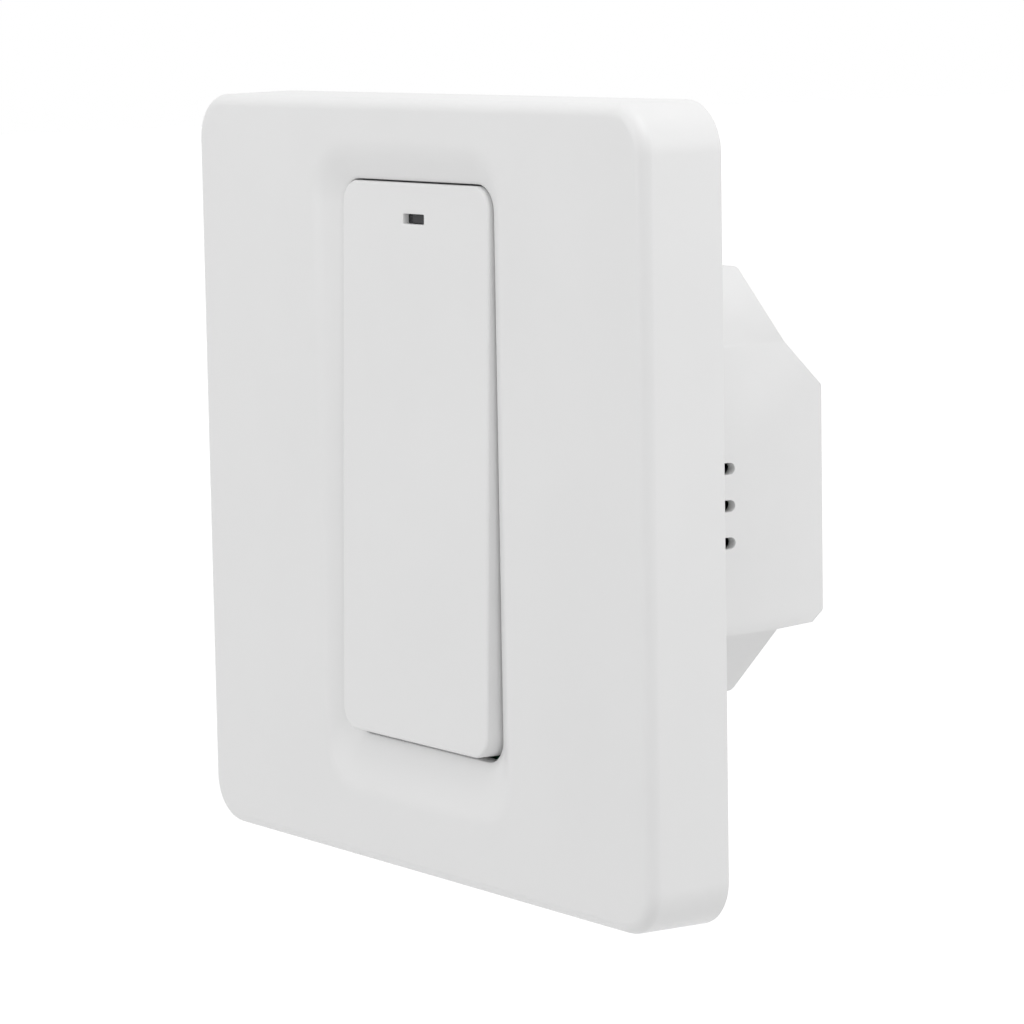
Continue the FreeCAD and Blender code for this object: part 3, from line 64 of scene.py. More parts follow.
def worked(tree, operation, *terms):
    """A Math node's result, from numbers or from other nodes' outputs."""
    return add_node(tree, "ShaderNodeMath", dict(enumerate(terms)), operation=operation).outputs[0]


def noise_in(tree, place, scale, detail=2.0):
    """A noise texture's value."""
    noise = add_node(tree, "ShaderNodeTexNoise", {"Vector": place, "Scale": scale, "Detail": detail})
    return noise.outputs["Fac"]


def spread_out(tree, value, low=0.0, high=1.0):
    """A noise's middle range, stretched to run from low to high."""
    ends = {"From Min": 0.3, "From Max": 0.7, "To Min": low, "To Max": high}
    return add_node(tree, "ShaderNodeMapRange", {"Value": value, **ends}).outputs["Result"]


def effect_group(name, takes):
    """A shader node group with named inputs, each with its usual value, and the point it colours."""
    group = bpy.data.node_groups.new(name, "ShaderNodeTree")
    for label, value in takes.items():
        socket = group.interface.new_socket(label, in_out="INPUT", socket_type="NodeSocketFloat")
        socket.default_value = value
    for label in ("Height", "Roughness", "Tone"):
        group.interface.new_socket(label, in_out="OUTPUT", socket_type="NodeSocketFloat")
    place = add_node(group, "ShaderNodeTexCoord").outputs["Object"]
    return group, add_node(group, "NodeGroupInput").outputs, place


def end_effect(group, given, height, gloss, tone):
    """End an effect with its relief, its roughness spread out over a noise, and its tone."""
    smoother = worked(group, "SUBTRACT", given["Roughness"], given["Spread"])
    rougher = worked(group, "ADD", given["Roughness"], given["Spread"])
    roughness = spread_out(group, gloss, smoother, rougher)
    add_node(group, "NodeGroupOutput", {"Height": height, "Roughness": roughness, "Tone": tone})


mould_grain, given, place = effect_group(
    "mould_grain", {"Grain": 7000.0, "Patches": 60.0, "Roughness": 0.4, "Spread": 0.05}
)
grain = noise_in(mould_grain, place, given["Grain"])
patches = noise_in(mould_grain, place, given["Patches"], 3.0)
end_effect(mould_grain, given, grain, patches, spread_out(mould_grain, patches))


def surface(name, effect, values, dark, light, depth, plain=None):
    """A material whose shade, gloss and relief vary by an effect, with its own plain sockets."""
    material = bpy.data.materials.new(name)
    material.use_nodes = True
    tree = material.node_tree
    varied = add_node(tree, "ShaderNodeGroup", values, node_tree=effect).outputs
    ends = {0: varied["Tone"], 6: (*dark, 1), 7: (*light, 1)}
    shade = add_node(tree, "ShaderNodeMix", ends, data_type="RGBA")
    relief = {"Strength": 1.0, "Distance": depth * MM, "Height": varied["Height"]}
    normal = add_node(tree, "ShaderNodeBump", relief).outputs["Normal"]
    varying = {"Base Color": shade.outputs[2], "Roughness": varied["Roughness"], "Normal": normal}
    feed(tree, tree.nodes["Principled BSDF"], {**(plain or {}), **varying})
    return material


def applied(piece):
    """The piece with its modifiers worked into its mesh."""
    graph = bpy.context.evaluated_depsgraph_get()
    mesh = bpy.data.meshes.new_from_object(piece.evaluated_get(graph), depsgraph=graph)
    piece.modifiers.clear()
    piece.data = mesh
    return piece


def smoothed(piece, angle=38.0):
    """Smooth shading inside each face, with the creases kept."""
    piece.data.shade_smooth()
    piece.data.set_sharp_from_angle(angle=math.radians(angle))
    piece.modifiers.new("even", "WEIGHTED_NORMAL").keep_sharp = True
    return applied(piece)


def broken_edges(piece, width, steps=2, least=35.0):
    """The piece with its sharp edges rounded off a little, as on any real part."""
    edge = piece.modifiers.new("edge", "BEVEL")
    edge.width = width * MM
    edge.segments = steps
    edge.limit_method = "ANGLE"
    edge.angle_limit = math.radians(least)
    return smoothed(applied(piece))


def new_piece(name, shape):
    """A piece from a bmesh in millimetres, closed and facing outwards."""
    bmesh.ops.remove_doubles(shape, verts=shape.verts, dist=1e-4)
    bmesh.ops.recalc_face_normals(shape, faces=shape.faces)
    bmesh.ops.scale(shape, vec=(MM, MM, MM), verts=shape.verts)
    mesh = bpy.data.meshes.new(name)
    shape.to_mesh(mesh)
    shape.free()
    piece = bpy.data.objects.new(name, mesh)
    bpy.context.collection.objects.link(piece)
    return piece


def solid_shape(node):
    """A CAD node's own shape in millimetres, its loose facets merged and its flats joined."""
    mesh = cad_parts[node].data.copy()
    if "custom_normal" in mesh.attributes:
        mesh.attributes.remove(mesh.attributes["custom_normal"])
    shape = bmesh.new()
    shape.from_mesh(mesh)
    bmesh.ops.scale(shape, vec=(1 / MM, 1 / MM, 1 / MM), verts=shape.verts)
    bmesh.ops.remove_doubles(shape, verts=shape.verts, dist=1e-3)
    bmesh.ops.dissolve_limit(shape, angle_limit=math.radians(0.5), verts=shape.verts, edges=shape.edges)
    return shape


def from_solid(node, name):
    return new_piece(name, solid_shape(node))


def skin(shape, rings, closed=False):
    """Faces between each ring of points and the next; a closed skin ends where it started."""
    rows = [[shape.verts.new(point) for point in ring] for ring in rings]
    pairs = list(zip(rows, rows[1:] + rows[:1])) if closed else list(zip(rows, rows[1:]))
    for near, far in pairs:
        for index in range(len(near)):
            after = (index + 1) % len(near)
            shape.faces.new((near[index], near[after], far[after], far[index]))
    if not closed:
        shape.faces.new(rows[0])
        shape.faces.new(rows[-1])


def prism(shape, flat, place, low, high):
    """A closed bar whose section is a list of points in a plane, placed by a function."""
    skin(shape, [[Vector(place(u, v, end)) for u, v in flat] for end in (low, high)])


def block(shape, x, y, z):
    """A closed box from ranges along each axis."""
    flat = [(x[0], z[0]), (x[1], z[0]), (x[1], z[1]), (x[0], z[1])]
    prism(shape, flat, lambda u, v, t: (u, t, v), *y)


def cut_by(piece, shape):
    """The piece with closed shapes cut out of it."""
    cutter = new_piece("cutter", shape)
    cut = piece.modifiers.new("cut", "BOOLEAN")
    cut.operation, cut.solver, cut.object = "DIFFERENCE", "EXACT", cutter
    piece = applied(piece)
    bpy.data.objects.remove(cutter)
    return piece


def coat(piece, material):
    piece.data.materials.clear()
    piece.data.materials.append(material)
    return piece


def dressed(node, name, width, material, steps=2):
    """A CAD node's own shape as a new piece, with its edges broken and its finish on."""
    return coat(broken_edges(from_solid(node, name), width, steps), material)


def fit(piece, body, slot, *nodes):
    """The finished piece rides on its body and stands for its CAD nodes; its slot is not used."""
    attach(piece, body)
    if nodes:
        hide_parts(*nodes)
    return piece


housing_white = surface(
    "housing_white", mould_grain, {"Roughness": 0.46, "Spread": 0.04, "Grain": 5200.0},
    (0.80, 0.80, 0.80), (0.83, 0.83, 0.83), 0.006,
)
side_reach, side_flat = 24.0, 15.8
lower_step, chamfer_start, chamfer = 22.0, 27.35, 1.45
fold_round, fold_taper, underside_draft = 0.85, 2.0, 0.3
vent_wall, vent_bay_reach = 1.2, 2.2
vent_bay_y, vent_bay_z = (10.2, 21.7), (-7.5, 4.3)
shape = solid_shape("rear_housing")
folds = []
fold_ends = []
for edge in shape.edges:
    near, far = sorted((vert.co for vert in edge.verts), key=lambda p: p.y)
    at_fold = abs(abs(near.x) - side_reach) < 0.01 and abs(abs(near.z) - side_flat) < 0.01
    if at_fold and near.y < 0.01 and abs(far.x - near.x) < 0.01 and abs(far.z - near.z) < 0.01:
        folds.append(edge)
        fold_ends.append(far.copy())
bent = bmesh.ops.bevel(
    shape, geom=folds, offset=fold_round, segments=4, profile=0.5, affect="EDGES", clamp_overlap=False
)
for vert in bent["verts"]:
    for end in fold_ends:
        if (vert.co - end).length < fold_taper:
            vert.co = end
for vert in shape.verts:
    share = min(max((-vert.co.z - side_flat + chamfer) / chamfer, 0.0), 1.0)
    if vert.co.y > lower_step + 0.05:
        vert.co.z += underside_draft * share * (vert.co.y - lower_step) / (chamfer_start - lower_step)
housing = new_piece("housing_shell", shape)
shape = bmesh.new()
for side in (-1, 1):
    ends = sorted((side * (side_reach - vent_wall), side * (side_reach - vent_bay_reach)))
    block(shape, ends, vent_bay_y, vent_bay_z)
housing = coat(broken_edges(cut_by(housing, shape), 0.12), housing_white)
fit(housing, "root", "housing_white", "rear_housing")

# Power board: glass laminate under green solder mask, routed to the housing's outline and
# notched round its pillars. Wide copper tracks carry the mains, and the leads of the parts on
# its front are soldered at its back.
board_front, board_rear = 15.0, 16.6

board_weave, given, place = effect_group(
    "board_weave", {"Threads": 1700.0, "Roughness": 0.3, "Spread": 0.05}
)
along = add_node(board_weave, "ShaderNodeSeparateXYZ", {0: place}).outputs
pitch = worked(board_weave, "MULTIPLY", given["Threads"], math.pi)
warp = worked(board_weave, "SINE", worked(board_weave, "MULTIPLY", along["X"], pitch))
weft = worked(board_weave, "SINE", worked(board_weave, "MULTIPLY", along["Z"], pitch))
humps = worked(board_weave, "MULTIPLY_ADD", worked(board_weave, "MULTIPLY", warp, weft), 0.5, 0.5)
blots = noise_in(board_weave, place, 160.0, 3.0)
cloudy = worked(board_weave, "MULTIPLY_ADD", spread_out(board_weave, blots), 0.6, 0.0)
tone = worked(board_weave, "MULTIPLY_ADD", humps, 0.4, cloudy)
end_effect(board_weave, given, humps, blots, tone)

drawn_metal, given, place = effect_group(
    "drawn_metal", {"Grain": 900.0, "Stretch": 14.0, "Roughness": 0.3, "Spread": 0.1}
)
ways = {"X": given["Stretch"], "Y": 1.0, "Z": given["Stretch"]}
drawn_out = add_node(drawn_metal, "ShaderNodeCombineXYZ", ways).outputs[0]
stretched = add_node(drawn_metal, "ShaderNodeVectorMath", {0: place, 1: drawn_out}, operation="MULTIPLY")
lines = noise_in(drawn_metal, stretched.outputs[0], given["Grain"])
tone = spread_out(drawn_metal, noise_in(drawn_metal, place, 220.0, 3.0))
end_effect(drawn_metal, given, lines, lines, tone)


def grow(tree, kind, values, **settings):
    """A geometry node fed like any other; gives its first output."""
    return add_node(tree, "GeometryNode" + kind, values, **settings).outputs[0]


def eased(tree, curve, radius, count):
    """A curve with its corners rounded off in a few flats."""
    values = {"Curve": curve, "Radius": radius, "Limit Radius": True, "Count": count}
    return grow(tree, "FilletCurve", values, mode="POLY")


def swept(tree, curve, section):
    """A closed bar along a curve."""
    return grow(tree, "CurveToMesh", {"Curve": curve, "Profile Curve": section, "Fill Caps": True})


def growing_tree(name, takes):
    """A geometry tree with named inputs in millimetres, each with its usual value."""
    tree = bpy.data.node_groups.new(name, "GeometryNodeTree")
    tree.interface.new_socket("Geometry", in_out="INPUT", socket_type="NodeSocketGeometry")
    for label, value in {**takes, "Depth": 0.0}.items():
        kind = "NodeSocketInt" if isinstance(value, int) else "NodeSocketFloat"
        tree.interface.new_socket(label, in_out="INPUT", socket_type=kind).default_value = value
    tree.interface.new_socket("Material", in_out="INPUT", socket_type="NodeSocketMaterial")
    tree.interface.new_socket("Geometry", in_out="OUTPUT", socket_type="NodeSocketGeometry")
    return tree, add_node(tree, "NodeGroupInput").outputs


def laid(tree, given, drawn):
    """End a tree: what is drawn in plan goes to its depth, with up in the plan to the front."""
    lift = add_node(tree, "ShaderNodeCombineXYZ", {"Z": worked(tree, "MULTIPLY", given["Depth"], -1.0)})
    drawn = grow(tree, "Transform", {"Geometry": drawn, "Translation": lift.outputs[0]})
    upright = {"Rotation": (math.pi / 2, 0, 0), "Scale": (MM, MM, MM)}
    drawn = grow(tree, "Transform", {"Geometry": drawn, **upright})
    drawn = grow(tree, "RealizeInstances", {"Geometry": drawn})
    drawn = grow(tree, "SetMaterial", {"Geometry": drawn, "Material": given["Material"]})
    add_node(tree, "NodeGroupOutput", {0: drawn})


def grown(name, tree, material, runs, sizes, angle=38.0):
    """A piece that a tree grows from runs of points in plan; a run of one is a place."""
    points = [point for run in runs for point in run]
    edges = []
    for run in runs:
        first = len(edges) and edges[-1][1] + 1 if len(run) > 1 else 0
        edges += [(first + index, first + index + 1) for index in range(len(run) - 1)]
    mesh = bpy.data.meshes.new(name)
    mesh.from_pydata([(x, z, 0) for x, z in points], edges, [])
    piece = bpy.data.objects.new(name, mesh)
    bpy.context.collection.objects.link(piece)
    growth = piece.modifiers.new("growth", "NODES")
    growth.node_group = tree
    sizes = {**sizes, "Material": material}
    for item in tree.interface.items_tree:
        if item.in_out == "INPUT" and item.name in sizes:
            growth[item.identifier] = sizes[item.name]
    return smoothed(applied(piece), angle)


def at(places):
    """One run for each place."""
    return [[place] for place in places]


board_tracks, given = growing_tree("board_tracks", {"Width": 1.6, "Height": 0.06, "Bend": 1.0})
flat = grow(board_tracks, "MeshToCurve", {"Mesh": given["Geometry"]})
flat = eased(board_tracks, flat, given["Bend"], 3)
flat = grow(board_tracks, "SetCurveNormal", {"Curve": flat}, mode="Z_UP")
both_sides = worked(board_tracks, "MULTIPLY", given["Height"], 2.0)
ends = {"Width": given["Width"], "Height": both_sides}
profile = grow(board_tracks, "CurvePrimitiveQuadrilateral", ends)
laid(board_tracks, given, swept(board_tracks, flat, profile))

solder_joints, given = growing_tree(
    "solder_joints",
    {"Foot": 0.85, "Neck": 0.34, "Rise": 0.6, "Lead": 0.28, "Lead Length": 1.0, "Turn": math.pi},
)
lead_tip = worked(solder_joints, "MULTIPLY", given["Lead"], 0.8)
both = add_node(solder_joints, "GeometryNodeJoinGeometry")
for sides, low, high, length in (
    (14, given["Foot"], given["Neck"], given["Rise"]), (8, given["Lead"], lead_tip, given["Lead Length"])
):
    values = {"Vertices": sides, "Radius Bottom": low, "Radius Top": high, "Depth": length}
    cone = grow(solder_joints, "MeshCone", {"Side Segments": 1, **values})
    solder_joints.links.new(cone, both.inputs[0])
turned_over = add_node(solder_joints, "ShaderNodeCombineXYZ", {"X": given["Turn"]}).outputs[0]
values = {"Points": given["Geometry"], "Instance": both.outputs[0], "Rotation": turned_over}
laid(solder_joints, given, grow(solder_joints, "InstanceOnPoints", values))

board_green = surface(
    "board_green", board_weave, {"Roughness": 0.28, "Spread": 0.06},
    (0.012, 0.13, 0.055), (0.022, 0.18, 0.08), 0.004, {"Coat Weight": 0.3},
)
masked_copper = surface(
    "masked_copper", board_weave, {"Roughness": 0.24, "Spread": 0.05},
    (0.03, 0.27, 0.11), (0.045, 0.33, 0.14), 0.003, {"Coat Weight": 0.4},
)
solder = surface(
    "solder", mould_grain, {"Grain": 2600.0, "Patches": 500.0, "Roughness": 0.28, "Spread": 0.1},
    (0.58, 0.58, 0.57), (0.72, 0.72, 0.71), 0.01, {"Metallic": 1.0},
)


def coat_where(piece, material, test):
    """Another finish on the faces whose middle, in millimetres, passes the test."""
    piece.data.materials.append(material)
    for face in piece.data.polygons:
        if test(face.center / MM):
            face.material_index = len(piece.data.materials) - 1
    return piece


def joined(piece, *others):
    with bpy.context.temp_override(active_object=piece, selected_editable_objects=[piece, *others]):
        bpy.ops.object.join()
    return piece


laminate = dressed("power_board", "power_board_laminate", 0.05, board_green)
mains_runs = [
    [(-7.5, -0.6), (-7.5, -2.2), (-10.5, -4.4), (-16.6, -4.4), (-17.6, -6.0), (-17.6, -8.6), (-14.4, -11.4)],
    [(0.0, -0.6), (0.0, -6.6), (-4.4, -11.0), (-4.4, -11.4)],
    [(7.5, -0.6), (7.5, -4.0), (12.65, -7.4), (12.65, -9.2)],
    [(-4.7, 12.4), (-4.8, 16.2), (-3.4, 17.6), (1.2, 17.6)],
    [(-15.7, 12.4), (-14.6, 15.0), (-9.9, 17.0)],
    [(11.6, 17.6), (14.6, 13.6), (19.4, 8.0), (19.4, -0.6)],
    [(17.0, -0.6), (17.0, -5.6), (16.15, -9.2)],
]
signal_runs = []
for x in (-6.35, -3.81, -1.27):
    signal_runs.append([(x, -18.6), (x, -16.6), (x * 0.6 - 2.4, -14.4), (x * 0.6 - 2.4, -13.2)])
for x in (1.27, 3.81, 6.35):
    signal_runs.append([(x, -18.6), (x, -16.2), (x + 2.2, -14.2), (x + 2.2, -12.6)])
front_runs = [[(-19.8, z), (-19.8, z + 9.0), (-18.6, z + 10.2)] for z in (-13.0, 1.6)]
front_runs += [[(20.0, 3.4), (20.0, 12.0), (15.0, 16.6)], [(-1.2, 14.0), (-1.2, 2.4), (0.2, 1.0)]]
for runs, sizes in (
    (mains_runs, {"Width": 1.7, "Depth": board_rear}),
    (signal_runs, {"Width": 0.5, "Bend": 0.5, "Depth": board_rear}),
    (front_runs, {"Width": 0.9, "Depth": board_front}),
):
    laminate = joined(laminate, grown("tracks", board_tracks, masked_copper, runs, sizes))
fit(laminate, "root", "board_green", "power_board")

link_places = [((index - 2.5) * 2.54, -19.0) for index in range(6)]
link_joint = {"Foot": 0.8, "Neck": 0.48, "Rise": 0.45, "Lead": 0.3, "Lead Length": 0.5}
relay_places = [(x, z) for x in (-15.7, -4.7) for z in (-4.4, 12.4)]
relay_joint = {"Foot": 1.15, "Neck": 0.62, "Rise": 0.7, "Lead": 0.3, "Lead Length": 0.8}
lead_places = [(x, -9.2) for x in (3.85, 7.35, 12.65, 16.15)] + [(-14.4, -11.4), (-4.4, -11.4)]
lead_places += [(-9.9, 17.0), (-4.9, 17.0), (1.2, 17.6), (11.6, 17.6), (17.0, -0.6), (19.4, -0.6)]
lead_places += [(6.6, 0.2), (9.6, 0.2), (13.1, 9.9)]
joints = joined(*(
    grown(name, solder_joints, solder, at(places), {**sizes, "Depth": board_rear}, 30.0)
    for name, places, sizes in (
        ("power_board_joints", lead_places, {}),
        ("relay_joints", relay_places, relay_joint),
        ("link_joints", link_places, link_joint),
    )
))
fit(joints, "root", "tin_plate")

# Relay: a sealed blue case moulded in nylon, standing on four small feet, with a vent pip on
# its front and four tinned pins through the board.


def outline(width, height, corner, y, middle=0.0, across=0.0, per_corner=14, per_side=12):
    """Points of a rounded rectangle that faces the front, going round from its right side."""
    points = []
    reach, rise = width / 2 - corner, height / 2 - corner
    centres = [(reach, rise), (-reach, rise), (-reach, -rise), (reach, -rise)]
    corners = []
    for turn, (x, z) in enumerate(centres):
        angles = [(turn + part / per_corner) * math.pi / 2 for part in range(per_corner + 1)]
        arc = [(across + x + corner * math.cos(a), middle + z + corner * math.sin(a)) for a in angles]
        corners.append([Vector((u, y, v)) for u, v in arc])
    for turn, arc in enumerate(corners):
        following = corners[(turn + 1) % 4][0]
        points += arc + [arc[-1].lerp(following, part / per_side) for part in range(1, per_side)]
    return points


def spin(shape, profile, centre, axis="y", steps=40, closed=False):
    """A turned solid from (radius, distance along the axis) pairs, or a ring if it is closed."""
    place = {
        "x": lambda r, d, a: (d, r * math.cos(a), r * math.sin(a)),
        "y": lambda r, d, a: (r * math.cos(a), d, r * math.sin(a)),
        "z": lambda r, d, a: (r * math.cos(a), r * math.sin(a), d),
    }[axis]
    turns = [2 * math.pi * part / steps for part in range(steps)]
    rings = [[Vector(place(max(r, 5e-4), d, a)) + Vector(centre) for a in turns] for r, d in profile]
    skin(shape, rings, closed)


def turned(name, material, profile, places, axis="y", steps=40, closed=False, angle=38.0):
    """A finished piece with one turned solid at each place."""
    shape = bmesh.new()
    for place in places:
        spin(shape, profile, place, axis, steps, closed)
    return coat(smoothed(new_piece(name, shape), angle), material)


relay_blue = surface(
    "relay_blue", mould_grain, {"Roughness": 0.34, "Spread": 0.06, "Grain": 4000.0},
    (0.016, 0.07, 0.27), (0.022, 0.085, 0.31), 0.004,
)
tin_plate = surface(
    "tin_plate", drawn_metal, {"Roughness": 0.3, "Spread": 0.08},
    (0.62, 0.62, 0.61), (0.72, 0.72, 0.71), 0.004, {"Metallic": 1.0},
)
case = broken_edges(from_solid("relay_case", "relay_case_body"), 0.18)
pip_profile = [(0, 3.9), (0.9, 3.9), (0.9, 3.52), (0.8, 3.42), (0.35, 3.4), (0.3, 3.5), (0, 3.5)]
pip = turned("relay_pip", relay_blue, pip_profile, [(-15.6, 0, 10.8)])
fit(coat(joined(case, pip), relay_blue), "root", "relay_case", "relay_case")
fit(dressed("relay_pins", "relay_tabs", 0.12, tin_plate), "root", "tin_plate", "relay_pins")

# Transformer: two ferrite halves glued round a moulded bobbin, whose winding is covered by
# three turns of yellow film tape.
ferrite_grey = surface(
    "ferrite_grey", mould_grain, {"Grain": 3200.0, "Patches": 300.0, "Roughness": 0.62, "Spread": 0.1},
    (0.045, 0.045, 0.05), (0.07, 0.07, 0.075), 0.012,
)
moulded_black = surface(
    "moulded_black", mould_grain, {"Roughness": 0.45, "Spread": 0.06, "Grain": 5200.0},
    (0.014, 0.014, 0.014), (0.024, 0.024, 0.024), 0.005,
)
tape_yellow = surface(
    "tape_yellow", mould_grain, {"Grain": 900.0, "Patches": 420.0, "Roughness": 0.26, "Spread": 0.08},
    (0.62, 0.46, 0.03), (0.78, 0.62, 0.08), 0.02, {"Coat Weight": 0.25},
)
shape = bmesh.new()
for x in (3.28, 15.84):
    block(shape, (x, x + 0.08), (8.4, 8.8), (3.2, 7.2))
glue_line = new_piece("core_joint", shape)
core = joined(broken_edges(from_solid("transformer_core", "transformer_core_halves"), 0.15), glue_line)
fit(coat(core, ferrite_grey), "root", "ferrite", "transformer_core")
bobbin = dressed("transformer_bobbin", "transformer_bobbin_frame", 0.12, moulded_black)
fit(bobbin, "root", "black_plastic", "transformer_bobbin")
tape_swell = ((6.9, 0.06), (7.3, 0.0), (7.9, 0.03), (8.6, 0.0), (9.3, 0.03), (9.9, 0.0), (10.3, 0.06))
shape = bmesh.new()
rings = [
    outline(7.2 - 2 * inset, 10.0 - 2 * inset, 1.4 - inset, y, 5.2, 9.6, 8, 2)
    for y, inset in ((6.82, 0.25), *tape_swell, (10.38, 0.25))
]
rings += [outline(5.2, 5.2, 0.2, y, 5.2, 9.6, 8, 2) for y in (10.38, 6.82)]
skin(shape, rings, closed=True)
block(shape, (8.1, 11.4), (6.95, 10.25), (10.1, 10.26))
winding = smoothed(new_piece("transformer_taped_winding", shape))
fit(coat(winding, tape_yellow), "root", "winding_tape", "transformer_winding")

# Bulk capacitors: aluminium cans in shrunk dark sleeves with a pale stripe on the negative
# side, crimped over a rubber bung, with a scored safety vent in the bare end.


def cross(shape, x, z, reach, half, start, end, taper=0.5):
    """A cross-shaped plug that narrows from its start to its end, along the depth."""
    rings = []
    for y, share in ((start, 1.0), (end, taper)):
        r, h = reach * share, half * (0.5 + share / 2)
        corners = [(r, h), (h, h), (h, r), (-h, r), (-h, h), (-r, h)]
        corners += [(-u, -v) for u, v in corners]
        rings.append([Vector((x + u, y, z + v)) for u, v in corners])
    skin(shape, rings)


sleeve_dark = surface(
    "sleeve_dark", mould_grain, {"Grain": 1500.0, "Patches": 260.0, "Roughness": 0.24, "Spread": 0.07},
    (0.04, 0.04, 0.05), (0.06, 0.06, 0.07), 0.008, {"Coat Weight": 0.3},
)
sleeve_stripe = surface(
    "sleeve_stripe", mould_grain, {"Grain": 1500.0, "Patches": 260.0, "Roughness": 0.3, "Spread": 0.07},
    (0.42, 0.43, 0.45), (0.5, 0.51, 0.53), 0.008, {"Coat Weight": 0.3},
)
bare_aluminium = surface(
    "bare_aluminium", drawn_metal, {"Roughness": 0.32, "Spread": 0.1, "Grain": 600.0},
    (0.66, 0.67, 0.68), (0.76, 0.77, 0.78), 0.005, {"Metallic": 1.0},
)
can_places = (5.6, 14.4)
can_z = -9.2
shape = bmesh.new()
vents = bmesh.new()
can_profile = [(0, 3.78), (3.2, 3.78), (3.28, 3.6), (3.45, 3.52), (3.75, 3.56), (3.94, 3.75), (4.0, 4.1)]
can_profile += [(4.0, 12.2), (3.9, 12.45), (3.72, 12.7), (3.66, 12.95), (3.72, 13.2), (3.9, 13.45)]
can_profile += [(4.0, 13.7), (4.0, 14.5), (3.9, 14.75), (3.6, 14.85), (3.3, 14.7), (3.2, 14.6)]
can_profile += [(3.1, 15.0), (0, 15.0)]
for x in can_places:
    spin(shape, can_profile, (x, 0, can_z), steps=48)
    cross(vents, x, can_z, 2.6, 0.09, 3.7, 3.9, 1.0)
cans = coat(smoothed(cut_by(new_piece("bulk_capacitor_cans", shape), vents), 30.0), sleeve_dark)


def from_can_axis(point):
    away = (Vector((point.x - x, point.z - can_z)) for x in can_places)
    return min(away, key=lambda reach: reach.length)


coat_where(cans, bare_aluminium, lambda p: p.y < 3.95 and from_can_axis(p).length < 3.24)
coat_where(cans, moulded_black, lambda p: p.y > 14.55 and from_can_axis(p).length < 3.4)
coat_where(cans, sleeve_stripe, lambda p: from_can_axis(p).length > 3.3 and from_can_axis(p).y > 3.35)
fit(cans, "root", "capacitor_can", "bulk_capacitors")

# Safety capacitor: a film winding potted in a yellow moulded box, whose rim stands a little
# proud of the resin on the board's side.
film_yellow = surface(
    "film_yellow", mould_grain, {"Roughness": 0.4, "Spread": 0.06, "Grain": 3600.0},
    (0.62, 0.42, 0.035), (0.72, 0.52, 0.06), 0.005,
)
film_box = dressed("safety_capacitor", "safety_capacitor_box", 0.2, film_yellow, 3)
fit(film_box, "root", "film_case", "safety_capacitor")

# Varistor: a zinc oxide disc on two tinned leads, dipped in blue lacquer that runs a little way
# down the leads.
dipped_blue = surface(
    "dipped_blue", mould_grain, {"Grain": 700.0, "Patches": 380.0, "Roughness": 0.2, "Spread": 0.06},
    (0.022, 0.1, 0.36), (0.035, 0.14, 0.44), 0.05, {"Coat Weight": 0.5},
)
shape = bmesh.new()
half_disc = [(0, 1.5), (2.4, 1.48), (3.2, 1.3), (3.75, 0.8)]
disc = [(r, -d) for r, d in half_disc] + [(4.0, 0)] + half_disc[::-1]
spin(shape, disc, (-7.4, 9.0, 17.0), "z", 56)
lead_profile = [(0, 9.5), (0.75, 9.6), (0.72, 12.6), (0.5, 13.3), (0.34, 13.9), (0.3, 14.0)]
lead_profile += [(0.28, 15.05), (0, 15.05)]
for x in (-9.9, -4.9):
    spin(shape, lead_profile, (x, 0, 17.0), steps=16)
dipped = coat(smoothed(new_piece("varistor_disc", shape), 45.0), dipped_blue)
coat_where(dipped, tin_plate, lambda p: p.y > 13.9)
fit(dipped, "root", "varistor_coat", "varistor")

# Fusible resistor: wire wound on a ceramic rod with pressed end caps, under green lacquer with
# colour rings. Its leads are bent down into the board.
bent_wires, given = growing_tree("bent_wires", {"Wire Radius": 0.3, "Bend": 0.6})
bent = grow(bent_wires, "MeshToCurve", {"Mesh": given["Geometry"]})
bent = eased(bent_wires, bent, given["Bend"], 6)
section = {"Resolution": 14, "Radius": given["Wire Radius"]}
bent = swept(bent_wires, bent, grow(bent_wires, "CurvePrimitiveCircle", section, mode="RADIUS"))
bent = grow(bent_wires, "Transform", {"Geometry": bent, "Rotation": (math.pi / 2, 0, 0)})
laid(bent_wires, given, bent)

lacquer_green = surface(
    "lacquer_green", mould_grain, {"Grain": 900.0, "Patches": 300.0, "Roughness": 0.36, "Spread": 0.07},
    (0.1, 0.26, 0.12), (0.14, 0.33, 0.16), 0.02,
)
resistor_middle = (6.4, 12.8, 17.6)
half_body = [(4.2, 0.0), (4.2, 0.9), (4.05, 1.35), (3.7, 1.58), (3.0, 1.6), (2.4, 1.52), (2.1, 1.42)]
rod = [(r, -x) for x, r in half_body] + [(r, x) for x, r in reversed(half_body)]
resistor = turned("fuse_resistor_body", lacquer_green, rod, [resistor_middle], "x", 36, angle=45.0)
ring_waist = [(1.615, -0.32), (1.64, -0.27), (1.64, 0.27), (1.615, 0.32)]
ring_sink = 0.17
ring_colours = {
    -2.6: (0.25, 0.09, 0.02), -1.3: (0.02, 0.02, 0.02), 0.0: (0.5, 0.02, 0.01), 1.7: (0.55, 0.4, 0.08),
}
for number, (middle, colour) in enumerate(ring_colours.items(), 1):
    ring_paint = surface(
        "ring_paint_%d" % number, mould_grain, {"Grain": 900.0, "Roughness": 0.4, "Spread": 0.05},
        tuple(0.85 * part for part in colour), colour, 0.01,
    )
    sink = ring_sink if abs(middle) < 2.0 else 0.0
    waist = [(0.3, -0.32)] + [(r - sink, d) for r, d in ring_waist] + [(0.3, 0.32)]
    place = (resistor_middle[0] + middle, *resistor_middle[1:])
    resistor = joined(resistor, turned("ring", ring_paint, waist, [place], "x", 36, True))
leg_runs = [[(2.4, -12.8), (1.2, -12.8), (1.2, -15.1)], [(10.4, -12.8), (11.6, -12.8), (11.6, -15.1)]]
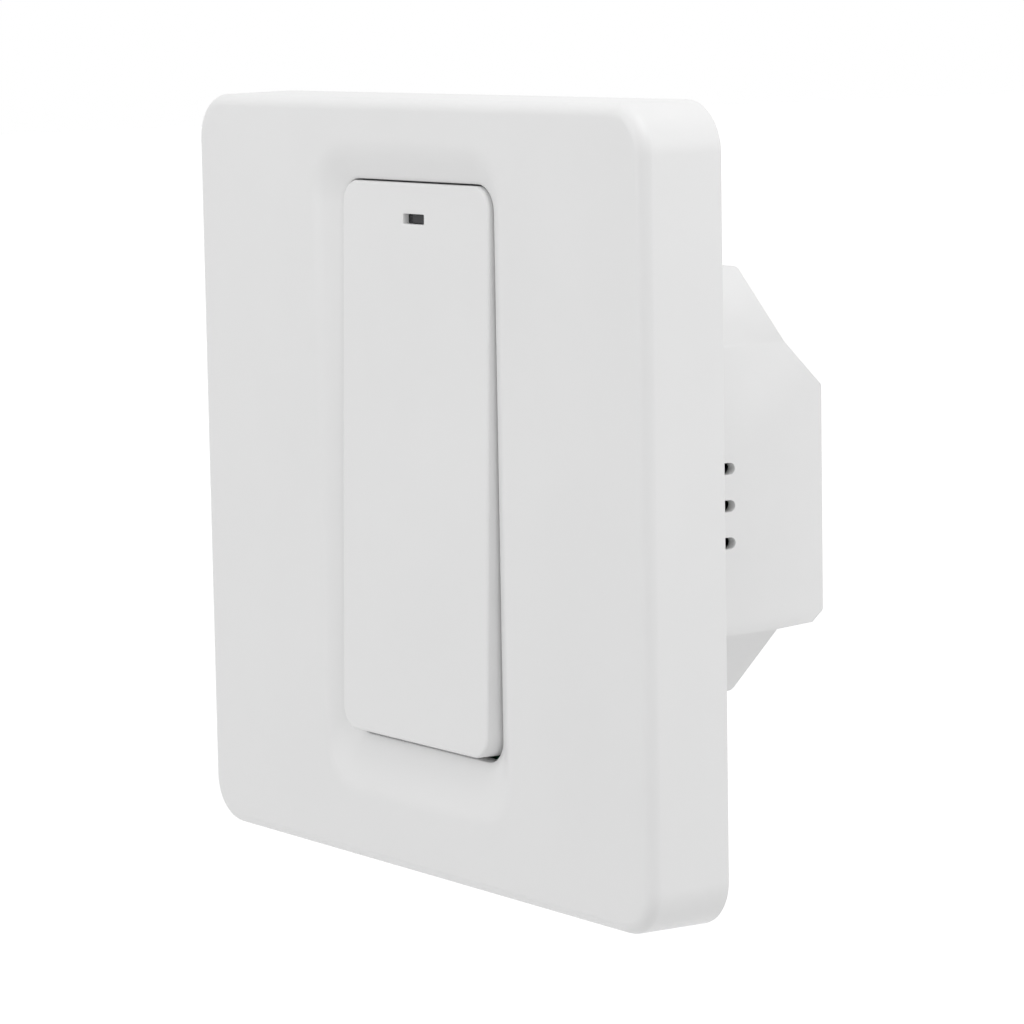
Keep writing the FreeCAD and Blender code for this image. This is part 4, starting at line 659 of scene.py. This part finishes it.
legs = grown("fuse_resistor_leads", bent_wires, tin_plate, leg_runs, {})
legs.data.transform(Matrix.Translation((0, 0, resistor_middle[2] * MM)))
fit(joined(resistor, legs), "root", "resistor_coat", "fuse_resistor")

# Line choke: enamelled copper wire wound in layers on a turned ferrite drum. It stands on the
# board's front face, and its two ends are soldered through the board.
coils, given = growing_tree(
    "coils", {"Turns": 12.0, "Radius": 2.4, "Length": 4.5, "Wire Radius": 0.19, "Sides": 6, "Steps": 28}
)
winding_up = {
    "Resolution": given["Steps"], "Rotations": given["Turns"], "Height": given["Length"],
    "Start Radius": given["Radius"], "End Radius": given["Radius"],
}
section = {"Resolution": given["Sides"], "Radius": given["Wire Radius"]}
spiral = grow(coils, "CurveSpiral", winding_up)
wound = swept(coils, spiral, grow(coils, "CurvePrimitiveCircle", section, mode="RADIUS"))
values = {"Points": given["Geometry"], "Instance": wound}
laid(coils, given, grow(coils, "InstanceOnPoints", values))

enamelled_copper = surface(
    "enamelled_copper", mould_grain, {"Grain": 1800.0, "Patches": 500.0, "Roughness": 0.24, "Spread": 0.06},
    (0.48, 0.19, 0.08), (0.64, 0.29, 0.13), 0.004, {"Metallic": 0.9, "Coat Weight": 0.4},
)
choke_place = (18.2, -0.6)
choke_middle = (choke_place[0], 0, choke_place[1])
drum = [(0, 8.6), (2.8, 8.6), (3.0, 8.8), (3.0, 9.3), (2.8, 9.5), (1.7, 9.5), (1.6, 9.6), (1.6, 14.0)]
drum += [(1.7, 14.1), (2.8, 14.1), (3.0, 14.3), (3.0, 14.8), (2.8, 15.0), (0, 15.0)]
drum_core = turned("choke_drum", ferrite_grey, drum, [choke_middle], steps=44)
fit(drum_core, "root", "ferrite", "line_choke_core")
layer = [(1.65, 9.57), (2.3, 9.57), (2.3, 14.03), (1.65, 14.03)]
layers = turned("choke_layers", enamelled_copper, layer, [choke_middle], closed=True)
coil_sizes = {"Turns": 11.0, "Radius": 2.41, "Length": 4.08, "Wire Radius": 0.185, "Depth": 13.84}
turns = grown("choke_coil", coils, enamelled_copper, at([choke_place]), coil_sizes, 60.0)
fit(joined(turns, layers), "root", "copper_wire", "line_choke_winding")

# Bridge rectifier: a flat black moulded case with four tinned legs, soldered to the board's
# front face.
bridge = dressed("bridge_rectifier", "bridge_case", 0.08, moulded_black)
coat_where(bridge, tin_plate, lambda p: p.z > 0.402 or p.z < -4.202)
fit(bridge, "root", "black_plastic", "bridge_rectifier")

# Terminal block: grey moulded nylon with three cells. In each, a tinned brass bar stands from
# the board, a folded steel clamp rises when its screw turns, and the wire is held between.
terminal_z = 5.6
terminal_poles = (-7.5, 0.0, 7.5)
terminal_grey = surface(
    "terminal_grey", mould_grain, {"Roughness": 0.44, "Spread": 0.05, "Grain": 4600.0},
    (0.27, 0.29, 0.3), (0.32, 0.34, 0.35), 0.006,
)
tinned_brass = surface(
    "tinned_brass", drawn_metal, {"Roughness": 0.28, "Spread": 0.08},
    (0.6, 0.56, 0.44), (0.7, 0.67, 0.56), 0.004, {"Metallic": 1.0},
)
zinc_plate = surface(
    "zinc_plate", drawn_metal, {"Roughness": 0.3, "Spread": 0.1, "Stretch": 6.0},
    (0.5, 0.5, 0.49), (0.68, 0.68, 0.66), 0.005, {"Metallic": 1.0},
)
holder = dressed("terminal_block", "terminal_block_body", 0.15, terminal_grey)
fit(holder, "root", "terminal_plastic", "terminal_block")
bars = dressed("terminal_bars", "terminal_contact_bars", 0.1, tinned_brass)
fit(bars, "root", "tinned_brass", "terminal_bars")


def screws(name, places, profile, steps, recess, thread, slot=()):
    """Turned screws with the driver's recess cut in and a thread wound on, one at each place."""
    shape = bmesh.new()
    driver = bmesh.new()
    for x, z in places:
        spin(shape, profile, (x, 0, z), steps=steps)
        for reach, half, start, end in slot:
            block(driver, (x - reach, x + reach), (start, end), (z - half, z + half))
        cross(driver, x, z, *recess)
    shanks = coat(smoothed(cut_by(new_piece(name, shape), driver), 30.0), zinc_plate)
    return joined(shanks, grown("thread", coils, zinc_plate, at(places), {"Sides": 4, **thread}, 20.0))


bolt_profile = [(0, 26.5), (1.7, 26.5), (1.95, 26.42), (2.05, 26.2), (2.05, 25.45), (1.95, 25.32)]
bolt_profile += [(1.3, 25.3), (1.25, 25.2), (1.25, 21.05), (0.95, 20.75), (0, 20.75)]
bolt_thread = {
    "Turns": 6.0, "Radius": 1.25, "Length": 3.7, "Wire Radius": 0.19, "Steps": 30, "Depth": 24.95
}
for number, pole in enumerate(terminal_poles, 1):
    cage = dressed("terminal_clamp_%d" % number, "clamp_cage_%d" % number, 0.12, zinc_plate)
    fit(cage, "clamp_%d" % number, "zinc_steel", "terminal_clamp_%d" % number)
    bolt = screws(
        "clamp_screw_%d" % number, [(pole, terminal_z)], bolt_profile, 40,
        (1.15, 0.26, 26.6, 25.7, 0.45), bolt_thread, [(2.4, 0.3, 25.95, 26.8)],
    )
    fit(bolt, "screw_%d" % number, "zinc_steel", "terminal_screw_%d" % number)

# Mounting frame: the white moulded tray that two screws hold to the wall box. The cover snaps
# on to its four ledges, and two long screws hold the housing to its back.
frame_tray = dressed("mounting_frame", "frame_tray", 0.12, housing_white)
fit(frame_tray, "root", "housing_white", "mounting_frame")
sunk_profile = [(0, -1.98), (1.85, -1.98), (1.97, -1.9), (1.0, -0.95), (0.8, -0.8), (0.76, 6.2)]
sunk = screws(
    "housing_screw_pair", [(-17.2, 17.2), (17.2, -17.2)], sunk_profile + [(0.3, 6.95), (0, 7.0)], 40,
    (1.15, 0.27, -2.2, -0.9, 0.4),
    {"Turns": 7.0, "Radius": 0.78, "Length": 6.2, "Wire Radius": 0.21, "Steps": 26, "Depth": 6.1},
)
fit(sunk, "root", "zinc_steel", "housing_screws")

# Link header: six square gold-plated pins that join the two boards through the frame's window.
# They are pressed through two black strips that are nicked between the pins.
square_posts, given = growing_tree(
    "square_posts", {"Length": 1.0, "Width": 0.5, "Height": 0.4, "Corner": 0.05, "Turned": 0, "Seed": 7}
)
ends = {"Width": given["Length"], "Height": given["Width"]}
face = grow(square_posts, "CurvePrimitiveQuadrilateral", ends)
face = eased(square_posts, face, given["Corner"], 1)
top = add_node(square_posts, "ShaderNodeCombineXYZ", {"Z": given["Height"]}).outputs[0]
post = swept(square_posts, grow(square_posts, "CurvePrimitiveLine", {"End": top}), face)
quarters = {4: 0, 5: 3, "Seed": given["Seed"]}
chance = add_node(square_posts, "FunctionNodeRandomValue", quarters, data_type="INT").outputs[2]
quarter = worked(square_posts, "MULTIPLY", chance, math.pi / 2)
turn = worked(square_posts, "MULTIPLY", quarter, given["Turned"])
heading = add_node(square_posts, "ShaderNodeCombineXYZ", {"Z": turn}).outputs[0]
values = {"Points": given["Geometry"], "Instance": post, "Rotation": heading}
laid(square_posts, given, grow(square_posts, "InstanceOnPoints", values))

gold_plate = surface(
    "gold_plate", drawn_metal, {"Roughness": 0.24, "Spread": 0.06},
    (0.74, 0.53, 0.2), (0.86, 0.66, 0.3), 0.003, {"Metallic": 1.0},
)
link_pins = dressed("link_header_pins", "link_pins", 0.14, gold_plate)
fit(link_pins, "root", "gold_pins", "link_header_pins")
strips = joined(*(
    grown(
        "link_strips", square_posts, moulded_black, at(link_places),
        {"Length": 2.54, "Width": 2.5, "Height": 2.5, "Corner": 0.35, "Depth": depth},
    )
    for depth in (0.0, board_front)
))
fit(strips, "root", "black_plastic", "link_header_spacers")

# Control board: the front board, a green laminate held by two pan head screws on the frame's
# stands, with fine tracks, ceramic chips and small moulded circuits.
control_face = -3.7
chip_ceramic = surface(
    "chip_ceramic", mould_grain, {"Roughness": 0.5, "Spread": 0.06, "Grain": 6000.0},
    (0.2, 0.13, 0.07), (0.3, 0.2, 0.11), 0.003,
)
control = dressed("control_board", "control_board_laminate", 0.05, board_green)
fine_runs = []
for index in range(3):
    x = -6.35 + 2.54 * index
    lane = -10.9 + 0.8 * index
    low, bend = -17.6 + 0.5 * index, -15.6 + 0.8 * index
    fine_runs.append([(x, -18.4), (x, low), (lane, bend), (lane, 4.6), (-7.0 + 1.3 * index, 6.3)])
    high = [(-lane, 18.0 + index), (4.4 + 0.9 * index, 25.2 + index)]
    fine_runs.append([(-x, -18.4), (-x, low), (-lane, bend)] + high)
fine_runs += [[(x, -6.6), (x, -8.4), (x * 1.8, -10.2)] for x in (-2.2, 2.2)]
fine_runs += [[(x, 22.3), (x, 25.8), (x * 0.3, 27.6)] for x in (-3.0, 0.6)]
fine = {"Width": 0.35, "Height": 0.04, "Bend": 0.5, "Depth": control_face}
control = joined(control, grown("control_tracks", board_tracks, masked_copper, fine_runs, fine))
fit(control, "root", "board_green", "control_board")
chip_places = [(-8.6, -8.2), (-8.6, -6.2), (-6.4, -7.4), (8.4, -8.2), (6.4, -7.0), (8.4, -5.6)]
chip_places += [(-5.0, 3.4), (-3.2, 3.4), (-1.4, 3.4), (9.2, 9.6), (9.2, 12.0), (9.2, 14.4)]
chip_places += [(-9.6, 9.6), (-9.6, 12.0), (-9.6, 14.4), (4.4, 29.0), (5.9, 30.9), (-4.4, 29.0)]
chip_places += [(-5.9, 30.9), (-8.8, 30.6), (-8.0, -25.2), (-5.6, -25.2), (3.4, -25.4), (5.6, -25.4)]
circuit_places = [(5.4, -13.5), (-5.4, -13.5), (6.2, 3.0)]
leg_places = [
    (x + side * 2.35, z + (row - 1.5) * 1.1)
    for x, z in circuit_places for side in (-1, 1) for row in range(4)
]


def posts(name, material, places, length, width, height, corner, depth=control_face, turned_about=0):
    """Square-cornered blocks that stand on a board, one at each place."""
    sizes = {"Length": length, "Width": width, "Height": height, "Corner": corner, "Depth": depth}
    return grown(name, square_posts, material, at(places), {**sizes, "Turned": turned_about})


header_joints = grown(
    "header_joints", solder_joints, solder, at(link_places),
    {**link_joint, "Turn": 0.0, "Depth": control_face}, 30.0,
)
circuits = joined(
    posts("control_circuits", moulded_black, circuit_places, 3.9, 4.6, 1.35, 0.12, control_face - 0.08),
    posts("control_chips", chip_ceramic, chip_places, 0.9, 0.86, 0.47, 0.03, turned_about=1),
    posts("chip_ends", tin_plate, chip_places, 1.6, 0.82, 0.44, 0.06, turned_about=1),
    posts("circuit_legs", tin_plate, leg_places, 0.95, 0.4, 0.28, 0.05),
    header_joints,
)
fit(circuits, "root", "black_plastic")
pan_profile = [(0, -4.8), (0.9, -4.78), (1.35, -4.66), (1.62, -4.4), (1.7, -4.0), (1.7, -3.72)]
pan_profile += [(0.9, -3.7), (0.72, -3.6), (0.68, -1.6), (0.3, -1.12), (0, -1.1)]
pan_heads = screws(
    "control_screw_pair", [(-9.7, 23.6), (9.7, -22.4)], pan_profile, 36, (0.95, 0.22, -5.0, -4.0, 0.4),
    {"Turns": 3.0, "Radius": 0.7, "Length": 1.8, "Wire Radius": 0.19, "Steps": 24, "Depth": -1.65},
)
fit(pan_heads, "root", "zinc_steel", "control_board_screws")

# Tact switch: a black body under a folded steel cover with four riveted corners, and the round
# red plunger that the rocker's pusher works.
switch_z = -3.0
switch_body = dressed("tact_switch_body", "tact_switch_case", 0.08, moulded_black)
coat_where(switch_body, tin_plate, lambda p: p.y < -5.1)
rivet = [(0, -5.1), (0.36, -5.1), (0.36, -5.24), (0.26, -5.29), (0, -5.3)]
rivet_places = [(x, 0, switch_z + z) for x in (-2.3, 2.3) for z in (-2.3, 2.3)]
rivets = turned("tact_rivets", moulded_black, rivet, rivet_places, steps=16)
foot_places = [(x, switch_z + z) for x in (-3.4, 3.4) for z in (-2.25, 2.25)]
feet = posts("tact_feet", tin_plate, foot_places, 1.2, 0.7, 0.3, 0.06)
fit(joined(switch_body, rivets, feet), "root", "black_plastic", "tact_switch_body")
button_red = surface(
    "button_red", mould_grain, {"Roughness": 0.36, "Spread": 0.05, "Grain": 5000.0},
    (0.46, 0.04, 0.03), (0.58, 0.06, 0.045), 0.004,
)
plunger = [(0, -6.2), (1.3, -6.2), (1.55, -6.15), (1.66, -6.04), (1.7, -5.9), (1.7, -5.06)]
plunger += [(1.6, -5.0), (0, -5.0)]
cap = turned("tact_plunger", button_red, plunger, [(0, 0, switch_z)])
fit(cap, "plunger", "button_plastic", "tact_switch_plunger")

# Status light: a white moulded cup filled with clear resin over its chip. Its four tinned feet
# are soldered to the front board, behind the rocker's slot.
light_z = 29.65
case_white = surface(
    "case_white", mould_grain, {"Roughness": 0.35, "Spread": 0.05, "Grain": 5200.0},
    (0.76, 0.76, 0.74), (0.82, 0.82, 0.8), 0.003,
)
clear_resin = surface(
    "clear_resin", mould_grain, {"Roughness": 0.08, "Spread": 0.03, "Grain": 2000.0},
    (0.82, 0.78, 0.56), (0.88, 0.85, 0.66), 0.001, {"Transmission Weight": 0.5},
)
cup = dressed("status_led", "status_light_cup", 0.08, case_white)
resin = [(0, -5.56), (0.5, -5.55), (0.9, -5.5), (1.17, -5.4), (1.19, -5.31), (0, -5.31)]
dome = turned("status_light_resin", clear_resin, resin, [(0, 0, light_z)], steps=32)
foot_places = [(x, light_z + z) for x in (-1.9, 1.9) for z in (-0.75, 0.75)]
feet = posts("light_feet", tin_plate, foot_places, 0.6, 0.7, 0.25, 0.05)
fit(joined(cup, dome, feet), "root", "light_resin", "status_led")

# Radio module: a small blue board with gold half-holes along its sides, a printed aerial at its
# top, and a pressed tinplate can over the circuits.
radio_face = -4.5
board_blue = surface(
    "board_blue", board_weave, {"Roughness": 0.28, "Spread": 0.06},
    (0.012, 0.035, 0.16), (0.022, 0.055, 0.22), 0.003, {"Coat Weight": 0.3},
)
radio = dressed("radio_module_board", "radio_board", 0.05, board_blue)
hole_places = [(side * 7.75, 7.7 + 1.5 * row) for side in (-1, 1) for row in range(7)]
half_holes = posts("radio_half_holes", gold_plate, hole_places, 0.7, 0.8, 0.86, 0.2)
aerial = [(-6.6, 18.0), (-6.6, 21.0)]
for turn in range(5):
    x = -6.6 + 2.4 * turn
    aerial += [(x + 1.2, 21.0), (x + 1.2, 19.0), (x + 2.4, 19.0), (x + 2.4, 21.0)]
thin = {"Width": 0.5, "Height": 0.035, "Bend": 0.12, "Depth": radio_face}
printed = grown("radio_aerial", board_tracks, gold_plate, [aerial], thin)
fit(joined(radio, half_holes, printed), "root", "board_blue", "radio_module_board")
lid = dressed("radio_shield_can", "radio_can", 0.12, tin_plate, 3)
fit(lid, "root", "tin_plate", "radio_shield_can")

# Rocker: one hollow moulding in satin white, drawn pushed in and then let out by its spring.
# It turns on two pins at its top, and a pusher behind its skin works the tact switch.
rocker_width, rocker_height, rocker_middle = 28.2, 61.64, 2.75
rocker_front, rocker_inner, rocker_back = -8.83, -7.0, -4.1
rocker_edge = 0.35
rest_angle = -1.43
hinge = Vector((0, -5.0, 30.6))
slot_width, slot_height, slot_middle = 4.0, 1.1, 29.65


def rocker_ring(inset, corner, y):
    return outline(rocker_width - 2 * inset, rocker_height - 2 * inset, corner, y, rocker_middle)


def slot_ring(spread, y):
    width, height = slot_width + 2 * spread, slot_height + 2 * spread
    return outline(width, height, 0.14 + spread, y, slot_middle)


def let_out(piece):
    """Turn what is drawn pushed in to where the rocker rests."""
    turn = Matrix.Rotation(math.radians(rest_angle), 4, "X")
    point = hinge * MM
    piece.data.transform(Matrix.Translation(point) @ turn @ Matrix.Translation(-point))
    return piece


shape = bmesh.new()
rings = [rocker_ring(0.15, 2.45, rocker_back), rocker_ring(0, 2.6, rocker_back - 0.15)]
for part in range(7):
    angle = part / 6 * math.pi / 2
    inset = rocker_edge * (1 - math.cos(angle))
    rings.append(rocker_ring(inset, 2.6 - inset, rocker_front + rocker_edge * (1 - math.sin(angle))))
rings.append(rocker_ring(1.5, 1.2, rocker_front))
for spread, drop in ((0.5, 0), (0.08, 0), (0.02, 0.02), (0, 0.08), (0, 1.7)):
    rings.append(slot_ring(spread, rocker_front + drop))
rings.append(slot_ring(0, rocker_inner))
rings += [rocker_ring(1.6, 0.9, rocker_inner), rocker_ring(1.4, 1.2, rocker_inner + 0.25)]
rings += [rocker_ring(1.4, 1.2, rocker_back - 0.1), rocker_ring(1.3, 1.3, rocker_back)]
skin(shape, rings, closed=True)
button = new_piece("rocker_skin", shape)
shape = bmesh.new()
rib_y = (rocker_inner - 0.3, rocker_inner + 1.1)
pusher_y = (rocker_inner - 0.3, -5.4415)
stop_y = (-5.039, -4.139)
block(shape, (-0.5, 0.5), rib_y, (-27.2, -4.2))
for z in (-3.0, -10.0, -17.0):
    block(shape, (-13.2, 13.2), rib_y, (z - 0.5, z + 0.5))
block(shape, (-1.4, 1.4), pusher_y, (-4.4, -1.6))
pin = [(0, 12.65), (1.7, 12.65), (1.7, 14.05), (1.0, 14.05), (1.0, 16.3), (0.85, 16.45), (0, 16.45)]
for side in (-1, 1):
    block(shape, sorted((side * 13.35, side * 15.45)), stop_y, (-24.75, -21.75))
    spin(shape, [(r, side * d) for r, d in pin], (0, hinge.y, hinge.z), "x")
fittings = broken_edges(new_piece("rocker_fittings", shape), 0.1)
button = smoothed(button)

cover_white = surface(
    "cover_white", mould_grain, {"Roughness": 0.38, "Spread": 0.03, "Grain": 7000.0},
    (0.815, 0.815, 0.815), (0.83, 0.83, 0.83), 0.003, {"Specular IOR Level": 0.5},
)
button = let_out(coat(joined(button, fittings), cover_white))
fit(button, "rocker", "cover_white", "rocker_button")

# Lens: a dark smoked plug behind the rocker's slot, glued by its flange to the inside of the
# skin. The status light shines through it.
shape = bmesh.new()
rings = [
    outline(width, height, corner, y, slot_middle)
    for width, height, corner, y in (
        (6.2, 3.0, 0.4, -6.2), (6.4, 3.2, 0.5, -6.3), (6.4, 3.2, 0.5, -6.9), (6.2, 3.0, 0.4, rocker_inner),
        (3.9, 1.0, 0.12, rocker_inner), (3.9, 1.0, 0.12, -8.09), (3.8, 0.9, 0.1, -8.14),
        (2.4, 0.4, 0.1, -8.16),
    )
]
skin(shape, rings)
smoked_lens = surface(
    "smoked_lens", mould_grain, {"Roughness": 0.12, "Spread": 0.04, "Grain": 3000.0},
    (0.02, 0.02, 0.023), (0.028, 0.028, 0.031), 0.001, {"Specular IOR Level": 0.3},
)
lens = let_out(coat(smoothed(new_piece("lens_plug", shape)), smoked_lens))
fit(lens, "rocker", "smoked_lens", "rocker_lens")

# Cover: the square white plate, moulded with slightly sloping sides. A soft recess falls to
# the rocker's opening, four hooks snap on to the frame, and two lugs carry the rocker.
plate_front = -10.1
plate_reach, plate_corner = 43.0, 5.3
draft = math.radians(1.0)
front_turn = 1.4
opening = (28.8, 62.5, 2.95, 2.58)
recess_rim = (35.6, 71.9, 5.5, 1.05)
recess_depth = 1.8
blend = 5.0


def plate_ring(reach, y):
    """The plate's outline where its half width is reach."""
    return outline(2 * reach, 2 * reach, plate_corner - (plate_reach - reach), y)


def opening_ring(spread, y):
    width, height, corner, middle = opening
    return outline(width + 2 * spread, height + 2 * spread, corner + spread, y, middle)


rings = [plate_ring(42.7, 0), plate_ring(42.88, -0.05), plate_ring(42.97, -0.16)]
rings += [plate_ring(plate_reach + math.tan(draft) * y, y) for y in (-0.3, -3.0, -6.0, -8.2)]
turn_depth = plate_front + front_turn
turn_reach = plate_reach + math.tan(draft) * turn_depth - front_turn / math.cos(draft)
for part in range(9):
    angle = draft + (math.pi / 2 - draft) * part / 8
    reach = turn_reach + front_turn * math.cos(angle)
    rings.append(plate_ring(reach, turn_depth - front_turn * math.sin(angle)))
rings.append(plate_ring(turn_reach - 0.8, plate_front))

# The recess turns over its rim in an arc and runs flat to a small lip at the opening
width, height, corner, middle = recess_rim
rim = outline(width, height, corner, plate_front, middle)
foot = opening_ring(0, plate_front + recess_depth)
flats = []
for top, low in zip(rim, foot):
    run = Vector((low.x - top.x, 0, low.z - top.z))
    flats.append((top, run.normalized(), math.atan2(recess_depth, run.length), low))
for share in (1.6, 1.25):
    rings.append([top - inward * blend * math.tan(tilt / 2) * share for top, inward, tilt, low in flats])
for part in range(9):
    ring = []
    for top, inward, tilt, low in flats:
        back = blend * math.tan(tilt / 2) - blend * math.sin(tilt * part / 8)
        drop = blend * (1 - math.cos(tilt * part / 8))
        ring.append(top - inward * back + Vector((0, drop, 0)))
    rings.append(ring)
for share in (0.35, 0.7):
    rings.append([above.lerp(flat[-1], share) for above, flat in zip(rings[-1], flats)])
for away, drop in ((0.2, 0.0), (0.05, 0.05)):
    sunk_in = Vector((0, drop, 0))
    rings.append([low + (top - low).normalized() * away + sunk_in for top, inward, tilt, low in flats])
lip = ((0, plate_front + recess_depth + 0.2), (0, -6.65), (0.1, -6.5))
rings += [opening_ring(spread, y) for spread, y in lip]

# Its back: the wall carried down behind the recess, and the hollow that holds the frame
rings += [outline(38.0, 73.5, 7.55, y, 1.85) for y in (-6.5, -7.9)]
rings.append(outline(38.4, 73.9, 7.75, -8.1, 1.85))
hollow = ((81.4, 3.0, -8.1), (81.9, 3.25, -7.85), (82.0, 3.3, -7.4), (82.0, 3.3, -0.2), (82.4, 3.5, 0))
rings += [outline(width, width, corner, y) for width, corner, y in hollow]
shape = bmesh.new()
skin(shape, rings, closed=True)
plate = smoothed(new_piece("cover_plate", shape), 30.0)
shape = bmesh.new()
hook = [(35.6, -8.6), (36.8, -8.6), (36.8, -0.95), (37.3, -0.95), (36.8, -0.35), (35.6, -0.35)]
bore_radius, bore_start, bore_sweep = 1.05, -49.6, -260.8
bore = []
for part in range(21):
    angle = math.radians(bore_start + bore_sweep * part / 20)
    bore.append((hinge.y + bore_radius * math.cos(angle), hinge.z + bore_radius * math.sin(angle)))
lug = [(-6.7, 28.2), (-2.65, 28.2), (-2.65, 29.8)] + bore + [(-2.65, 31.4), (-2.65, 33.0), (-6.7, 33.0)]
for side in (-1, 1):
    for level in (-23.0, 23.0):
        sided = [(side * u, v) for u, v in hook]
        prism(shape, sided, lambda u, v, t: (u, v, t), level - 4, level + 4)
    prism(shape, lug, lambda u, v, t: (t, u, v), side * 14.55, side * 16.35)
hooks = broken_edges(new_piece("cover_hooks", shape), 0.08)
fit(coat(joined(plate, hooks), cover_white), "cover", "cover_white", "face_plate")

# Studio: a plain pale floor and background, soft lamps round the switch, and a camera that sees
# its front and its right side from a little above. None of it is part of the switch.
floor_reach, floor_level, floor_glow = 6.0, -0.2, 0.6
room_light = 0.57


def seen_directly(tree):
    """One for the camera's rays and for those that a gloss or a clear piece sends on."""
    path = add_node(tree, "ShaderNodeLightPath").outputs
    seen = worked(tree, "MAXIMUM", path["Is Camera Ray"], path["Is Glossy Ray"])
    return worked(tree, "MAXIMUM", seen, path["Is Transmission Ray"])


floor_mesh = bpy.data.meshes.new("studio_floor")
corners = [(x * floor_reach, y * floor_reach, floor_level) for x, y in ((-1, -1), (1, -1), (1, 1), (-1, 1))]
floor_mesh.from_pydata(corners, [], [(0, 1, 2, 3)])
floor = bpy.data.objects.new("studio_floor", floor_mesh)
bpy.context.collection.objects.link(floor)
floor_white = bpy.data.materials.new("floor_white")
floor_white.use_nodes = True
tree = floor_white.node_tree
paint = tree.nodes["Principled BSDF"]
feed(tree, paint, {"Base Color": (0.8, 0.8, 0.8, 1), "Roughness": 0.9})
glowing = worked(tree, "MULTIPLY", seen_directly(tree), floor_glow)
glow = add_node(tree, "ShaderNodeEmission", {"Strength": glowing})
both = add_node(tree, "ShaderNodeAddShader", {0: paint.outputs[0], 1: glow.outputs[0]})
feed(tree, tree.nodes["Material Output"], {"Surface": both.outputs[0]})
floor_mesh.materials.append(floor_white)

world = bpy.data.worlds.new("studio")
bpy.context.scene.world = world
world.use_nodes = True
tree = world.node_tree
strengths = {"Value": seen_directly(tree), "To Min": room_light, "To Max": 1.0}
strength = add_node(tree, "ShaderNodeMapRange", strengths).outputs["Result"]
feed(tree, tree.nodes["Background"], {"Color": (1, 1, 1, 1), "Strength": strength})


def soft_light(name, place, size, power):
    """A square softbox that looks at the switch's middle."""
    lamp = bpy.data.lights.new(name, "AREA")
    lamp.size, lamp.energy = size, power
    light = bpy.data.objects.new(name, lamp)
    light.location = place
    light.rotation_euler = (-Vector(place)).to_track_quat("-Z", "Y").to_euler()
    bpy.context.collection.objects.link(light)


soft_light("front_softbox", (-0.159, -0.436, 0.187), 0.36, 0.56)
soft_light("right_front_softbox", (0.791, -0.554, 0.259), 0.6, 0.5)
soft_light("rear_right_softbox", (0.74, 0.621, 0.259), 0.6, 1.62)
soft_light("top_front_softbox", (0.077, -0.211, 0.39), 0.35, 0.17)
soft_light("top_right_softbox", (0.2, 0.0, 0.346), 0.3, 0.45)

sensor, picture, focal_pixels = 36.0, 1024, 4171.66
yaw, pitch, roll = (math.radians(angle) for angle in (54.604, 7.316, -0.998))
shift_right, shift_up, distance = 0.002958, -0.003168, 0.462545
back = Vector((math.sin(yaw) * math.cos(pitch), -math.cos(yaw) * math.cos(pitch), math.sin(pitch)))
right = Vector((math.cos(yaw), math.sin(yaw), 0))
up = back.cross(right)
turned_right = math.cos(roll) * right + math.sin(roll) * up
turned_up = -math.sin(roll) * right + math.cos(roll) * up
lens_data = bpy.data.cameras.new("camera")
lens_data.sensor_width = sensor
lens_data.lens = focal_pixels / picture * sensor
lens_data.clip_start = 0.01
camera = bpy.data.objects.new("camera", lens_data)
bpy.context.collection.objects.link(camera)
camera.location = shift_right * right + shift_up * up + distance * back
camera.rotation_euler = Matrix((turned_right, turned_up, back)).transposed().to_euler()
bpy.context.scene.camera = camera
bpy.context.scene.view_settings.view_transform = "Standard"

bpy.context.view_layer.update()
